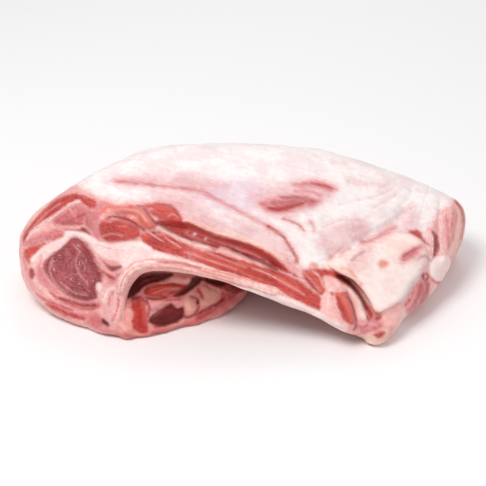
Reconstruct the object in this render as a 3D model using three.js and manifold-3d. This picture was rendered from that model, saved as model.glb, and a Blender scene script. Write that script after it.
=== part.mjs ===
/**
 * Raw goat shoulder on the bone: a thick fat-covered slab that arches over a
 * chest hollow, with its cut face at the left front.
 *
 * The shape is drawn on a sketch plane that leans back from the front foot of
 * the joint: u runs to the right, v up the plane and w out of it, to the front.
 * A signed field over (u, v, w) is meshed as a surface net and thinned where it
 * is smooth. The sketch is drawn at 340 units of length, and SKETCH_UNIT brings
 * it to the real size. Millimetres, +Z up, the bottom centre at the origin.
 */
import * as THREE from 'three';
import { mergeVertices } from 'three/addons/utils/BufferGeometryUtils.js';
import Module from 'manifold-3d';

// ---------------------------------------------------------------- dimensions

const LENGTH = 306; // real length of the joint
const SKETCH_LENGTH = 340; // the same length in the sketch
const SKETCH_UNIT = LENGTH / SKETCH_LENGTH; // millimetres to a unit of the sketch
const CUT_GAP = 0.3; // clearance between the meat and a bone, millimetres

// All that follows is in units of the sketch.
const LEAN = THREE.MathUtils.degToRad(28); // lean of the sketch plane
const FOOT_Y = -97; // where the sketch plane meets the board
const CENTRE = { x: 1.3, y: 5.8 }; // middle of the joint on the board

const GRID = { low: [-176, -12, -216], high: [178, 162, 26], cell: [2.7, 2.7, 3.3] };
const MEAT_TRIANGLES = 10400; // what the thinning leaves of the meat
const RIM_ROUND = 14; // rounding between front and outline
const BACK_ROUND = 32; // rounding between the planes of the back
const FOOT_ROUND = 6; // rounding where the meat settles on the board
const OUTLINE_GROWTH = 1.5; // makes up for what the rounding takes
const UNDERCUT = 1; // meat left below the board, which the level cut takes off

/** Outline of the joint on the sketch plane, clockwise from the left end. */
const OUTLINE = [
  [-167, 67.5], [-165.5, 79], [-156, 93], [-137.5, 106.5], [-119.5, 117], [-103, 127],
  [-78, 140.5], [-51.5, 149], [-24, 152.5], [4, 152], [31.5, 152.5], [59.5, 150],
  [87, 141], [115, 132], [142.5, 121.5], [157, 115], [168.5, 108], [172, 95],
  [168, 75], [156, 53.5], [145.5, 41], [135.5, 32], [126, 25.5], [116.5, 20],
  [107.5, 9], [96.5, -2], [88, 0], [72, 7], [-67, -2], [-92.5, 2], [-111, 7.5],
  [-130, 16], [-143.5, 23], [-152.5, 30.5], [-161.5, 41.5], [-166.5, 56],
];

/** Planes of the front, each w = at + u * byU + v * byV. */
const CAP_PLANES = [
  { name: 'fat cap, left', at: 96.5, byU: -0.27, byV: -1.114 },
  { name: 'fat cap, middle', at: 79, byU: -0.362, byV: -0.912 },
  { name: 'fat cap, right', at: 62, byU: -0.36, byV: -0.561 },
];
const FACE_PLANES = [
  { name: 'left cut face', at: 26.5, byU: 0.337, byV: -0.036 },
  { name: 'rib plate', at: -1, byU: 0.1, byV: 0.2 },
  { name: 'flap', at: 30.2, byU: -0.178, byV: -0.367 },
  { name: 'right end', at: 112.6, byU: -0.922, byV: -0.264 },
];
const CAP_BLEND = 24;
const FACE_BLEND = 9;

/** Planes of the back: outward direction in x, y, z and distance from the sketch's origin. */
const BACK_PLANES = [
  { name: 'back', out: [0, 0.93, 0.36], far: 111 },
  { name: 'back, left', out: [-0.62, 0.74, 0.26], far: 140 },
  { name: 'back, right', out: [0.55, 0.79, 0.26], far: 155 },
  { name: 'back, top', out: [0, 0.55, 0.83], far: 122 },
  { name: 'back, top right', out: [0.42, 0.55, 0.72], far: 148 },
];

/** Relief of the front: what stands up (rise > 0) or lies back, with a shoulder of the given width. */
const RELIEF = [
  {
    name: 'slit under the fat cap', rise: -15, shoulder: [-1.5, 4],
    outline: [[-69.5, 99.5], [-59.5, 90], [-41.5, 84.5], [-20, 76], [-2, 71.5], [13.5, 63],
      [26.5, 55.5], [41, 42], [30, 43.5], [13.5, 48.5], [-5.5, 57], [-27, 66.5],
      [-48.5, 74.5], [-61.5, 83]],
  },
  {
    name: 'rounded muscle', rise: 9, shoulder: [-3, 12],
    outline: [[-117.5, 102], [-103.5, 103], [-90.5, 95.5], [-77.5, 92.5], [-72, 83.5],
      [-77.5, 75], [-90.5, 73], [-104.5, 76.5], [-115, 88]],
  },
  {
    name: 'folded muscle', rise: 6, shoulder: [-2, 5],
    outline: [[-102, 101], [-81.5, 99.5], [-68.5, 96.5], [-61.5, 83.5], [-68.5, 81],
      [-76, 92.5], [-90.5, 95.5]],
  },
  {
    name: 'eye muscle', rise: 2, shoulder: [0, 6],
    outline: [[-123.5, 76.5], [-113.5, 68], [-107.5, 59], [-103, 49.5], [-104.5, 42],
      [-109.5, 31], [-119, 30], [-134, 38.5], [-150, 46], [-150.5, 54.5], [-144.5, 64],
      [-134, 71.5]],
  },
  {
    name: 'fat flap', rise: 6, shoulder: [-3, 7],
    outline: [[58.5, 59.5], [73, 66.5], [92.5, 78], [112.5, 81], [125.5, 76.5], [130.5, 62],
      [121, 43], [112.5, 32], [95.5, 23.5], [89.5, 32], [80, 45], [69.5, 50.5]],
  },
  {
    name: 'slit under the flap', rise: -14, shoulder: [-1.5, 4],
    outline: [[62, 48.5], [76.5, 44.5], [85, 30.5], [94.5, 20.5], [112, 28], [109.5, 22],
      [92, 15], [82, 23.5], [73.5, 38]],
  },
  {
    name: 'muscle by the breast bone', rise: 4, shoulder: [-2, 6],
    outline: [[58, 42], [68, 46.5], [76.5, 39.5], [82, 25], [80.5, 8], [69, 10], [56.5, 19.5]],
  },
  {
    name: 'front foot', rise: 3, shoulder: [-2, 6],
    outline: [[81, 22], [96.5, 13.5], [113.5, 22], [109.5, 10.5], [96.5, 0], [82, 5]],
  },
];

/** Raised ribs and sunk seams of the front: rise and half width of a soft line. */
const LINES = [
  {
    name: 'edge of the arch', rise: 5, width: 6,
    path: [[-89, 19.5], [-86.5, 33], [-86.5, 47.5], [-80.5, 56.5], [-66.5, 61.5], [-45, 60.5],
      [-23.5, 56], [5, 45.5], [40.5, 31], [73, 14]],
  },
  {
    name: 'fold in the fat cap', rise: -4, width: 3.5,
    path: [[122, 96], [112, 88], [96, 80], [80, 71], [64, 66]],
  },
  {
    name: 'blade strip of the right end', rise: 2.5, width: 3,
    path: [[160, 101], [157, 80], [150, 60]],
  },
  {
    name: 'seam beside the blade strip', rise: -2.5, width: 2.5,
    path: [[152, 104], [149, 85], [143, 65]],
  },
];

/** Roof of the chest hollow seen from the front, x against z at the front edge. */
const ROOF = [
  [-112, -40], [-88, -16], [-83, 16], [-78, 38], [-62, 51], [-25, 50], [5, 41],
  [41, 28], [74, 9], [92, -14], [110, -40],
];
const HOLLOW = { front: -80, back: 95, narrowing: 0.18, lowering: 0.2, sink: 2, drift: 6, round: 8 };
/** Ribs that show through the hollow's roof, as waves along y. */
const ROOF_RIBS = { spacing: 27, first: -58, rise: 2.6 };

/** Chest wall that lies under the arch, on the board. */
const CHEST_WALL = {
  outline: [[-95.5, 42.5], [-95.5, 10], [-83.5, -2], [-67.5, -2], [-48.5, 4], [-25, 12.5],
    [-8, 25], [2, 38], [1, 53.5], [-13, 64], [-67.5, 68]],
  top: [{ at: -35.4, byU: -0.42, byV: 0 }, { at: 0.9, byU: 0, byV: -0.35 }],
  blend: 8,
  depth: -4, // y where it ends
  round: 9,
  backRound: 26,
};

/** Bones: centre line in sketch coordinates, with the half sizes of the section. */
const RIB_BONE = {
  path: [[-86, 35, 3.5], [-85, 47, 5], [-79, 55.5, 7], [-66, 60.5, 8.5], [-45, 59.5, 9.5],
    [-23, 55, 10], [5, 45, 10.5], [38, 31.5, 10.5]],
  across: 4.2, deep: 3.4, rings: 30, sides: 10,
};
const BACKBONE = {
  path: [[-99, 31, 14], [-98, 43, -30], [-96, 70, -80], [-95, 98, -130], [-94, 126, -184]],
  across: 9.5, deep: 11, rings: 10, sides: 16,
};
const BREAST_BONE = {
  path: [[93, 7.5, 14], [98, 11, 2], [104, 17, -12], [110, 26, -30]],
  across: 8, deep: 7, rings: 8, sides: 14,
};

const COLOURS = { meat: 0xd99a92, bone: 0xe8d3c4 };

// --------------------------------------------------------------- small maths

const clamp01 = (x) => Math.min(1, Math.max(0, x));

/** Smooth step of x from 0 at a to 1 at b. */
function ramp(x, a, b) {
  const t = clamp01((x - a) / (b - a));
  return t * t * (3 - 2 * t);
}

/** Largest of two values, rounded over the width k. */
function roundMax(a, b, k) {
  const h = clamp01(0.5 + (0.5 * (a - b)) / k);
  return b * (1 - h) + a * h + k * h * (1 - h);
}

const roundMin = (a, b, k) => -roundMax(-a, -b, k);

/** Height of a plane { at, byU, byV } over the sketch. */
const heightOf = (plane, u, v) => plane.at + plane.byU * u + plane.byV * v;

/** Sketch plane coordinates to x, y, z over the board, still in units of the sketch. */
function toBoard(u, v, w) {
  return [
    u,
    FOOT_Y + Math.sin(LEAN) * v - Math.cos(LEAN) * w,
    Math.cos(LEAN) * v + Math.sin(LEAN) * w,
  ];
}

/** Points of a smooth curve through the given 2-D points. */
function smoothLine(points, closed, perSpan = 4) {
  const curve = new THREE.CatmullRomCurve3(
    points.map(([u, v]) => new THREE.Vector3(u, v, 0)), closed, 'catmullrom', 0.5,
  );
  const count = (closed ? points.length : points.length - 1) * perSpan;
  const line = [];
  for (let i = 0; i < (closed ? count : count + 1); i += 1) {
    const p = curve.getPoint(i / count);
    line.push([p.x, p.y]);
  }
  return line;
}

/** Distance from (u, v) to a polyline. */
function distanceToLine(line, closed, u, v) {
  let best = Infinity;
  const last = closed ? line.length : line.length - 1;
  for (let i = 0; i < last; i += 1) {
    const [au, av] = line[i];
    const [bu, bv] = line[(i + 1) % line.length];
    const eu = bu - au;
    const ev = bv - av;
    const t = clamp01(((u - au) * eu + (v - av) * ev) / (eu * eu + ev * ev));
    best = Math.min(best, Math.hypot(u - au - t * eu, v - av - t * ev));
  }
  return best;
}

/** Signed distance to a closed polyline, negative inside. */
function signedDistance(line, u, v) {
  let inside = false;
  for (let i = 0, j = line.length - 1; i < line.length; j = i, i += 1) {
    const [iu, iv] = line[i];
    const [ju, jv] = line[j];
    if (iv > v !== jv > v && u < iu + ((v - iv) * (ju - iu)) / (jv - iv)) inside = !inside;
  }
  const distance = distanceToLine(line, true, u, v);
  return inside ? -distance : distance;
}

/** Value of a table of [x, y] pairs at x. */
function lookUp(table, x) {
  if (x <= table[0][0]) return table[0][1];
  for (let i = 1; i < table.length; i += 1) {
    const [bx, by] = table[i];
    if (x < bx) {
      const [ax, ay] = table[i - 1];
      return ay + ((x - ax) * (by - ay)) / (bx - ax);
    }
  }
  return table[table.length - 1][1];
}

// ------------------------------------------------------------ the meat's form

/** The meat as a signed field over the sketch coordinates. */
class MeatField {
  constructor() {
    this.outline = smoothLine(OUTLINE, true);
    this.reliefs = RELIEF.map((part) => ({ ...part, line: smoothLine(part.outline, true) }));
    this.lines = LINES.map((part) => ({ ...part, line: smoothLine(part.path, false) }));
    this.chestWall = smoothLine(CHEST_WALL.outline, true);
    this.roof = smoothLine(ROOF, false);
    this.backPlanes = BACK_PLANES.map(({ out, far }) => {
      const direction = new THREE.Vector3(...out).normalize();
      return { direction, far };
    });
  }

  /** Height of the front's planes, without relief. */
  baseHeight(u, v) {
    const cap = CAP_PLANES.map((plane) => heightOf(plane, u, v))
      .reduce((lowest, height) => roundMin(lowest, height, CAP_BLEND));
    return FACE_PLANES.map((plane) => heightOf(plane, u, v))
      .reduce((lowest, height) => roundMin(lowest, height, FACE_BLEND), cap);
  }

  /** What the relief adds to the front's height. */
  relief(u, v) {
    let rise = 0;
    for (const part of this.reliefs) {
      rise += part.rise * ramp(-signedDistance(part.line, u, v), ...part.shoulder);
    }
    for (const part of this.lines) {
      const away = distanceToLine(part.line, false, u, v) / part.width;
      rise += part.rise * Math.exp(-away * away);
    }
    return rise;
  }

  /** All that depends on (u, v) alone. */
  column(u, v) {
    const base = this.baseHeight(u, v);
    const alongU = this.baseHeight(u + 1, v) - base;
    const alongV = this.baseHeight(u, v + 1) - base;
    const [first, second] = CHEST_WALL.top;
    return {
      outline: signedDistance(this.outline, u, v) - OUTLINE_GROWTH,
      height: base + this.relief(u, v),
      steepness: 1 / Math.hypot(1, alongU, alongV),
      wallOutline: signedDistance(this.chestWall, u, v),
      wallHeight: roundMin(
        heightOf(first, u, v), heightOf(second, u, v), CHEST_WALL.blend,
      ),
    };
  }

  /** Height above the hollow's roof. */
  aboveRoof(x, y, z) {
    const t = clamp01((y - HOLLOW.front) / (HOLLOW.back - HOLLOW.front));
    const across = (x - HOLLOW.drift * t) / (1 - HOLLOW.narrowing * t);
    const roof = lookUp(this.roof, across);
    const slope = lookUp(this.roof, across + 1) - roof;
    const wave = Math.cos((2 * Math.PI * (y - ROOF_RIBS.first)) / ROOF_RIBS.spacing);
    const rib = ROOF_RIBS.rise * ramp(wave, -0.2, 1) * ramp(roof, 4, 20);
    const height = roof * (1 - HOLLOW.lowering * t) - HOLLOW.sink * t - rib;
    return (z - height) / Math.hypot(1, slope);
  }

  /** The field at w over a column: negative inside the meat. */
  value(column, u, v, w) {
    const [x, y, z] = toBoard(u, v, w);
    let field = roundMax(column.outline, (w - column.height) * column.steepness, RIM_ROUND);
    for (const { direction, far } of this.backPlanes) {
      const out = x * direction.x + y * direction.y + z * direction.z - far;
      field = roundMax(field, out, BACK_ROUND);
    }
    field = roundMax(field, -this.aboveRoof(x, y, z), HOLLOW.round);
    let wall = roundMax(column.wallOutline, (w - column.wallHeight) * 0.85, CHEST_WALL.round);
    wall = roundMax(wall, y - CHEST_WALL.depth, CHEST_WALL.backRound);
    field = roundMin(field, wall, 5);
    return roundMax(field, -z - UNDERCUT, FOOT_ROUND);
  }
}

// ---------------------------------------------------------------- surface net

const CORNERS = [0, 1, 2, 3, 4, 5, 6, 7].map((bit) => [bit & 1, (bit >> 1) & 1, bit >> 2]);

/** Whether the corners in a mask hang together along the cell's edges. */
function hangsTogether(mask) {
  const members = CORNERS.map((_, i) => i).filter((i) => (mask >> i) & 1);
  const seen = new Set(members.slice(0, 1));
  for (const from of seen) {
    for (const to of members) {
      const steps = CORNERS[from].reduce((sum, c, k) => sum + Math.abs(c - CORNERS[to][k]), 0);
      if (steps === 1) seen.add(to);
    }
  }
  return seen.size === members.length;
}

const PLAIN_CELL = Array.from({ length: 256 }, (_, mask) =>
  hangsTogether(mask) && hangsTogether(255 ^ mask));

/** A box grid of field values, and its surface as quads with one vertex a cell. */
class SurfaceNet {
  constructor({ low, high, cell }, fillColumn) {
    this.low = low;
    this.cell = cell;
    this.size = low.map((a, k) => Math.ceil((high[k] - a) / cell[k]) + 1);
    const [nu, nv, nw] = this.size;
    this.stride = [nv * nw, nw, 1];
    this.values = new Float64Array(nu * nv * nw);
    for (let i = 0; i < nu; i += 1) {
      for (let j = 0; j < nv; j += 1) {
        fillColumn(low[0] + i * cell[0], low[1] + j * cell[1], (k, value) => {
          this.values[this.at(i, j, k)] = value;
        }, nw);
      }
    }
  }

  at(i, j, k) {
    return i * this.stride[0] + j * this.stride[1] + k;
  }

  mask(i, j, k) {
    return CORNERS.reduce((mask, [a, b, c], bit) =>
      mask | ((this.values[this.at(i + a, j + b, k + c)] < 0 ? 1 : 0) << bit), 0);
  }

  forEachCell(visit) {
    const [nu, nv, nw] = this.size;
    for (let i = 0; i < nu - 1; i += 1) {
      for (let j = 0; j < nv - 1; j += 1) {
        for (let k = 0; k < nw - 1; k += 1) visit(i, j, k);
      }
    }
  }

  /** Fills the corners of cells whose inside falls apart, so that the surface stays a manifold. */
  settle() {
    for (let changed = true; changed;) {
      changed = false;
      this.forEachCell((i, j, k) => {
        if (PLAIN_CELL[this.mask(i, j, k)]) return;
        const outer = CORNERS.map(([a, b, c]) => this.at(i + a, j + b, k + c))
          .filter((n) => this.values[n] >= 0)
          .sort((m, n) => this.values[m] - this.values[n]);
        this.values[outer[0]] = -0.05;
        changed = true;
      });
    }
  }

  /** Where the surface passes through a cell: the mean of its crossings. */
  crossing(i, j, k) {
    const sum = [0, 0, 0];
    let count = 0;
    for (const corner of CORNERS) {
      for (let axis = 0; axis < 3; axis += 1) {
        if (corner[axis]) continue;
        const from = this.at(i + corner[0], j + corner[1], k + corner[2]);
        const a = this.values[from];
        const b = this.values[from + this.stride[axis]];
        if (a < 0 === b < 0) continue;
        corner.forEach((c, n) => { sum[n] += c + (n === axis ? a / (a - b) : 0); });
        count += 1;
      }
    }
    return [i, j, k].map((n, axis) => this.low[axis] + this.cell[axis] * (n + sum[axis] / count));
  }

  /** The surface as { points, faces }, faces outward. */
  mesh() {
    this.settle();
    const index = new Int32Array(this.values.length).fill(-1);
    const points = [];
    this.forEachCell((i, j, k) => {
      const mask = this.mask(i, j, k);
      if (mask === 0 || mask === 255) return;
      index[this.at(i, j, k)] = points.length;
      points.push(this.crossing(i, j, k));
    });
    const faces = [];
    this.forEachCell((i, j, k) => {
      const here = this.at(i, j, k);
      for (let axis = 0; axis < 3; axis += 1) {
        const a = this.values[here];
        const b = this.values[here + this.stride[axis]];
        if (a < 0 === b < 0) continue;
        const p = this.stride[(axis + 1) % 3];
        const q = this.stride[(axis + 2) % 3];
        const ring = [here - p - q, here - q, here, here - p].map((n) => index[n]);
        if (a >= 0) ring.reverse();
        faces.push([ring[0], ring[1], ring[2]], [ring[0], ring[2], ring[3]]);
      }
    });
    return { points, faces };
  }
}

// ------------------------------------------------------------------- thinning

/** Thins a closed mesh by collapsing its flattest edges, pass by pass. */
class Thinner {
  constructor({ points, faces }) {
    this.points = points.map((p) => new THREE.Vector3(...p));
    this.faces = faces.map((face) => [...face]);
    this.quadrics = this.points.map(() => new Float64Array(10));
    for (const face of this.faces) this.addPlane(face);
  }

  addPlane(face) {
    const [a, b, c] = face.map((i) => this.points[i]);
    const normal = b.clone().sub(a).cross(c.clone().sub(a));
    const area = normal.length();
    if (area === 0) return;
    normal.divideScalar(area);
    const plane = [normal.x, normal.y, normal.z, -normal.dot(a)];
    for (const i of face) {
      let n = 0;
      for (let r = 0; r < 4; r += 1) {
        for (let s = r; s < 4; s += 1, n += 1) this.quadrics[i][n] += area * plane[r] * plane[s];
      }
    }
  }

  /** Squared distance of p from the planes that two vertices stand for. */
  error(i, j, p) {
    const x = [p.x, p.y, p.z, 1];
    let sum = 0;
    let n = 0;
    for (let r = 0; r < 4; r += 1) {
      for (let s = r; s < 4; s += 1, n += 1) {
        const weight = this.quadrics[i][n] + this.quadrics[j][n];
        sum += (r === s ? 1 : 2) * weight * x[r] * x[s];
      }
    }
    return sum;
  }

  /** The best place for a merged edge, and what the merge costs. */
  plan(i, j) {
    const [a, b] = [this.points[i], this.points[j]];
    const places = [a, b, a.clone().add(b).multiplyScalar(0.5)];
    const costs = places.map((p) => this.error(i, j, p) + 1e-3 * a.distanceToSquared(b));
    const cost = Math.min(...costs);
    return { i, j, cost, place: places[costs.indexOf(cost)] };
  }

  /** Whether moving a vertex of a face to p keeps the face's side and a fair shape. */
  keepsShape(face, moved, p) {
    const old = face.map((n) => this.points[n]);
    const now = face.map((n) => (n === moved ? p : this.points[n]));
    const normals = [old, now].map(([a, b, c]) => b.clone().sub(a).cross(c.clone().sub(a)));
    const longest = Math.max(now[0].distanceToSquared(now[1]), now[1].distanceToSquared(now[2]),
      now[2].distanceToSquared(now[0]));
    return normals[1].length() > 0.12 * longest
      && normals[0].normalize().dot(normals[1].normalize()) > 0.35;
  }

  pass(limit) {
    const around = this.points.map(() => []);
    this.faces.forEach((face) => face.forEach((i) => around[i].push(face)));
    const plans = [];
    for (const face of this.faces) {
      face.forEach((i, n) => {
        const j = face[(n + 1) % 3];
        if (i < j) plans.push(this.plan(i, j));
      });
    }
    plans.sort((a, b) => a.cost - b.cost);
    const touched = new Set();
    const gone = new Set();
    const neighbours = (i) => new Set(around[i].flat());
    for (const { i, j, place } of plans) {
      if (gone.size >= limit) break;
      const ring = [neighbours(i), neighbours(j)];
      const both = [...ring[0]].filter((n) => ring[1].has(n));
      const all = [...ring[0], ...ring[1]];
      if (both.length !== 4 || all.some((n) => touched.has(n))) continue;
      const shared = around[i].filter((face) => face.includes(j));
      const fits = (moved) => around[moved].every((face) =>
        shared.includes(face) || this.keepsShape(face, moved, place));
      if (!fits(i) || !fits(j)) continue;
      all.forEach((n) => touched.add(n));
      shared.forEach((face) => gone.add(face));
      this.points[i].copy(place);
      this.quadrics[i].forEach((_, n) => { this.quadrics[i][n] += this.quadrics[j][n]; });
      for (const face of around[j]) face[face.indexOf(j)] = i;
    }
    this.faces = this.faces.filter((face) => !gone.has(face));
    return gone.size;
  }

  /** Thins down to a count of triangles and returns { points, faces }. */
  thinTo(count) {
    while (this.faces.length > count) {
      const excess = this.faces.length - count;
      if (this.pass(Math.min(excess, this.faces.length * 0.2)) === 0) break;
    }
    const used = [...new Set(this.faces.flat())];
    const place = new Map(used.map((old, now) => [old, now]));
    return {
      points: used.map((i) => this.points[i].toArray()),
      faces: this.faces.map((face) => face.map((i) => place.get(i))),
    };
  }
}

// --------------------------------------------------------------------- solids

/** A buffer geometry from { points, faces }. */
function geometryOf({ points, faces }) {
  const geometry = new THREE.BufferGeometry();
  geometry.setAttribute('position', new THREE.Float32BufferAttribute(points.flat(), 3));
  geometry.setIndex(faces.flat());
  return geometry;
}

/** A closed tube along a path of the sketch, oval in section, with rounded ends. */
function boneGeometry({ path, across, deep, rings, sides }, growth = 0) {
  const centre = new THREE.CatmullRomCurve3(
    path.map(([u, v, w]) => new THREE.Vector3(...toBoard(u, v, w))),
  );
  const frames = centre.computeFrenetFrames(rings, false);
  const points = [];
  for (let ring = 0; ring <= rings; ring += 1) {
    const middle = centre.getPointAt(ring / rings);
    const end = Math.min(ring, rings - ring) / 1.5;
    const swell = end < 1 ? 0.72 + 0.28 * end : 1;
    for (let side = 0; side < sides; side += 1) {
      const angle = (side / sides) * 2 * Math.PI;
      points.push(middle.clone()
        .addScaledVector(frames.normals[ring], Math.cos(angle) * (across * swell + growth))
        .addScaledVector(frames.binormals[ring], Math.sin(angle) * (deep * swell + growth)));
    }
  }
  const first = points.length;
  [0, 1].forEach((end) => {
    const outward = centre.getTangentAt(end).multiplyScalar(end ? 1 : -1);
    points.push(centre.getPointAt(end).addScaledVector(outward, growth + 1));
  });
  const faces = [];
  for (let side = 0; side < sides; side += 1) {
    const next = (side + 1) % sides;
    for (let ring = 0; ring < rings; ring += 1) {
      const [a, b] = [ring * sides + side, ring * sides + next];
      faces.push([a, a + sides, b + sides], [a, b + sides, b]);
    }
    faces.push([first, side, next], [first + 1, rings * sides + next, rings * sides + side]);
  }
  return geometryOf({ points: points.map((p) => p.toArray()), faces });
}

/** Joins and cuts between buffer geometries. */
class Cutter {
  constructor(wasm) {
    this.wasm = wasm;
  }

  solid(geometry) {
    const bare = geometry.clone();
    bare.deleteAttribute('normal');
    bare.deleteAttribute('uv');
    const merged = mergeVertices(bare, 1e-4);
    const build = (flip) => new this.wasm.Manifold(new this.wasm.Mesh({
      numProp: 3,
      vertProperties: new Float32Array(merged.attributes.position.array),
      triVerts: new Uint32Array(flip ? [...merged.index.array].reverse() : merged.index.array),
    }));
    const solid = build(false);
    return solid.volume() > 0 ? solid : build(true);
  }

  geometry(solid) {
    const { vertProperties, triVerts } = solid.getMesh();
    const geometry = new THREE.BufferGeometry();
    geometry.setAttribute('position', new THREE.Float32BufferAttribute(vertProperties, 3));
    geometry.setIndex([...triVerts]);
    geometry.computeVertexNormals();
    return geometry;
  }
}

/** The board's own space, which levels what rests on it. */
function boardGeometry() {
  const side = 2 * (GRID.high[0] - GRID.low[0]);
  const depth = 40;
  const slab = new THREE.BoxGeometry(side, side, depth);
  return slab.translate(0, 0, -depth / 2);
}

function meatGeometry() {
  const field = new MeatField();
  const net = new SurfaceNet(GRID, (u, v, put, count) => {
    const column = field.column(u, v);
    for (let k = 0; k < count; k += 1) {
      put(k, field.value(column, u, v, GRID.low[2] + k * GRID.cell[2]));
    }
  });
  const { points, faces } = net.mesh();
  const onBoard = { points: points.map(([u, v, w]) => toBoard(u, v, w)), faces };
  return geometryOf(new Thinner(onBoard).thinTo(MEAT_TRIANGLES));
}

// ------------------------------------------------------------------- assembly

function named(name, geometry, colour, roughness) {
  const material = new THREE.MeshStandardMaterial({ color: colour, roughness, metalness: 0 });
  const mesh = new THREE.Mesh(geometry, material);
  mesh.name = name;
  return mesh;
}

async function buildShoulder() {
  const wasm = await Module();
  wasm.setup();
  const cutter = new Cutter(wasm);
  const whole = cutter.solid(meatGeometry()).subtract(cutter.solid(boardGeometry()));

  const bones = [
    { name: 'rib_bone', size: RIB_BONE, flush: false },
    { name: 'backbone', size: BACKBONE, flush: true },
    { name: 'breast_bone', size: BREAST_BONE, flush: true },
  ];
  let meat = whole;
  const group = new THREE.Group();
  group.name = 'goat_shoulder';
  for (const { name, size, flush } of bones) {
    const bone = cutter.solid(boneGeometry(size));
    const shown = flush ? bone.intersect(whole) : bone;
    meat = meat.subtract(cutter.solid(boneGeometry(size, CUT_GAP / SKETCH_UNIT)));
    group.add(named(name, cutter.geometry(shown), COLOURS.bone, 0.5));
  }
  group.add(named('meat', cutter.geometry(meat), COLOURS.meat, 0.45));
  for (const mesh of group.children) {
    mesh.geometry.translate(-CENTRE.x, -CENTRE.y, 0).scale(SKETCH_UNIT, SKETCH_UNIT, SKETCH_UNIT);
  }
  return group;
}

export default await buildShoulder();
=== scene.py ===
"""Raw goat shoulder on the bone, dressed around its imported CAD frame.

The joint is drawn on a sketch plane that leans back from its front foot: u runs
to the right, v up the plane and w out of it, to the front. Signed fields over
(u, v, w) give the form, and a surface net meshes them. Marks drawn on the
sketch, one for each muscle, seam and fat, raise or sink the surface and give
every vertex its distance to each kind of tissue, which the finishes colour.
Lengths are units of the sketch until a mesh is made; one unit is 0.9 mm.
"""
import itertools
import logging
import math
from dataclasses import dataclass, field
from enum import Enum
from typing import Callable, Iterable, Sequence

import bpy
import numpy as np
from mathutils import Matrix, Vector


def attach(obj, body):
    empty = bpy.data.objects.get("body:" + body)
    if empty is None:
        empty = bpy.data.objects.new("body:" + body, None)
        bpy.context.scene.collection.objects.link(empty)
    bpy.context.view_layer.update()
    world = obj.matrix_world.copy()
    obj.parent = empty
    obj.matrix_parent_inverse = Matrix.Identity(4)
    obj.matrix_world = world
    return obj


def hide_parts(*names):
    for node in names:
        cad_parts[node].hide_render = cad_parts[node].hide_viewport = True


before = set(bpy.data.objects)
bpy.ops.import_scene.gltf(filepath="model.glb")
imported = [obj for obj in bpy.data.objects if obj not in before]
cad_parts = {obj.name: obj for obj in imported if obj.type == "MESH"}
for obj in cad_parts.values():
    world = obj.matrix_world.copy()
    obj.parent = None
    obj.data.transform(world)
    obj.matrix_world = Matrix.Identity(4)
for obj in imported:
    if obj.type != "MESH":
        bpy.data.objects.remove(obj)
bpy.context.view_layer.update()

LOG = logging.getLogger("goat_shoulder")
BODY = "root"
Array = np.ndarray
Point2 = tuple[float, float]
Point3 = tuple[float, float, float]
Colour = tuple[float, float, float, float]


# ------------------------------------------------------------------ the sketch

@dataclass(frozen=True)
class Sketch:
    """The leaning plane on which the joint is drawn.

    Attributes:
        unit: Metres to one unit of the sketch.
        lean: Lean of the plane from the upright.
        foot: y of the line where the plane meets the board.
        centre: x and y of the joint's middle on the board.
    """

    unit: float = 0.9e-3
    lean: float = math.radians(28)
    foot: float = -97.0
    centre: Point2 = (1.3, 5.8)

    def to_board(self, points: Array) -> Array:
        """Turn (u, v, w) into x, y, z over the board, still in sketch units."""
        u, v, w = np.moveaxis(points, -1, 0)
        sine, cosine = math.sin(self.lean), math.cos(self.lean)
        return np.stack([u, self.foot + sine * v - cosine * w, cosine * v + sine * w], -1)

    def turned(self, directions: Array) -> Array:
        """Turn directions of the sketch into directions over the board."""
        return self.to_board(directions) - self.to_board(np.zeros(3))

    def to_metres(self, points: Array) -> Array:
        """Turn (u, v, w) into the frame's metres."""
        board = self.to_board(points)
        return (board - np.array([*self.centre, 0.0])) * self.unit

    def from_metres(self, points: Array) -> Array:
        """Turn the frame's metres into (u, v, w)."""
        x, y, z = np.moveaxis(points / self.unit + np.array([*self.centre, -0.0]), -1, 0)
        sine, cosine = math.sin(self.lean), math.cos(self.lean)
        y = y - self.foot
        return np.stack([x, sine * y + cosine * z, sine * z - cosine * y], -1)

    def direction(self, along: Sequence[float]) -> Vector:
        """Turn a direction of the sketch into one of the frame."""
        return Vector(self.turned(np.array(along, float))).normalized()


SKETCH = Sketch()


def ramp(x: Array, low: float, high: float) -> Array:
    """Smooth step of x from 0 at low to 1 at high."""
    t = np.clip((x - low) / (high - low), 0, 1)
    return t * t * (3 - 2 * t)


def round_max(a: Array, b: Array, width: float) -> Array:
    """Largest of two fields, rounded over a width."""
    h = np.clip(0.5 + 0.5 * (a - b) / width, 0, 1)
    return b * (1 - h) + a * h + width * h * (1 - h)


def round_min(a: Array, b: Array, width: float) -> Array:
    """Smallest of two fields, rounded over a width."""
    return -round_max(-a, -b, width)


def smooth_line(points: Sequence[Sequence[float]], closed: bool, per_span: int = 4) -> Array:
    """Points of a smooth curve through the given points.

    Args:
        points: The points that the curve passes through.
        closed: Whether the last point joins the first.
        per_span: Points of the result to each span.

    Returns:
        The curve's points, without a repeated first point.
    """
    p = np.array(points, float)
    if closed:
        p = np.concatenate([p[-1:], p, p[:2]])
    else:
        p = np.concatenate([2 * p[:1] - p[1:2], p, 2 * p[-1:] - p[-2:-1]])
    t = np.arange(per_span)[:, None] / per_span
    spans = [
        0.5 * (2 * b + (c - a) * t + (2 * a - 5 * b + 4 * c - d) * t**2 + (3 * b - a - 3 * c + d) * t**3)
        for a, b, c, d in zip(p, p[1:], p[2:], p[3:])
    ]
    return np.concatenate(spans if closed else [*spans, p[-2:-1]])


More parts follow.
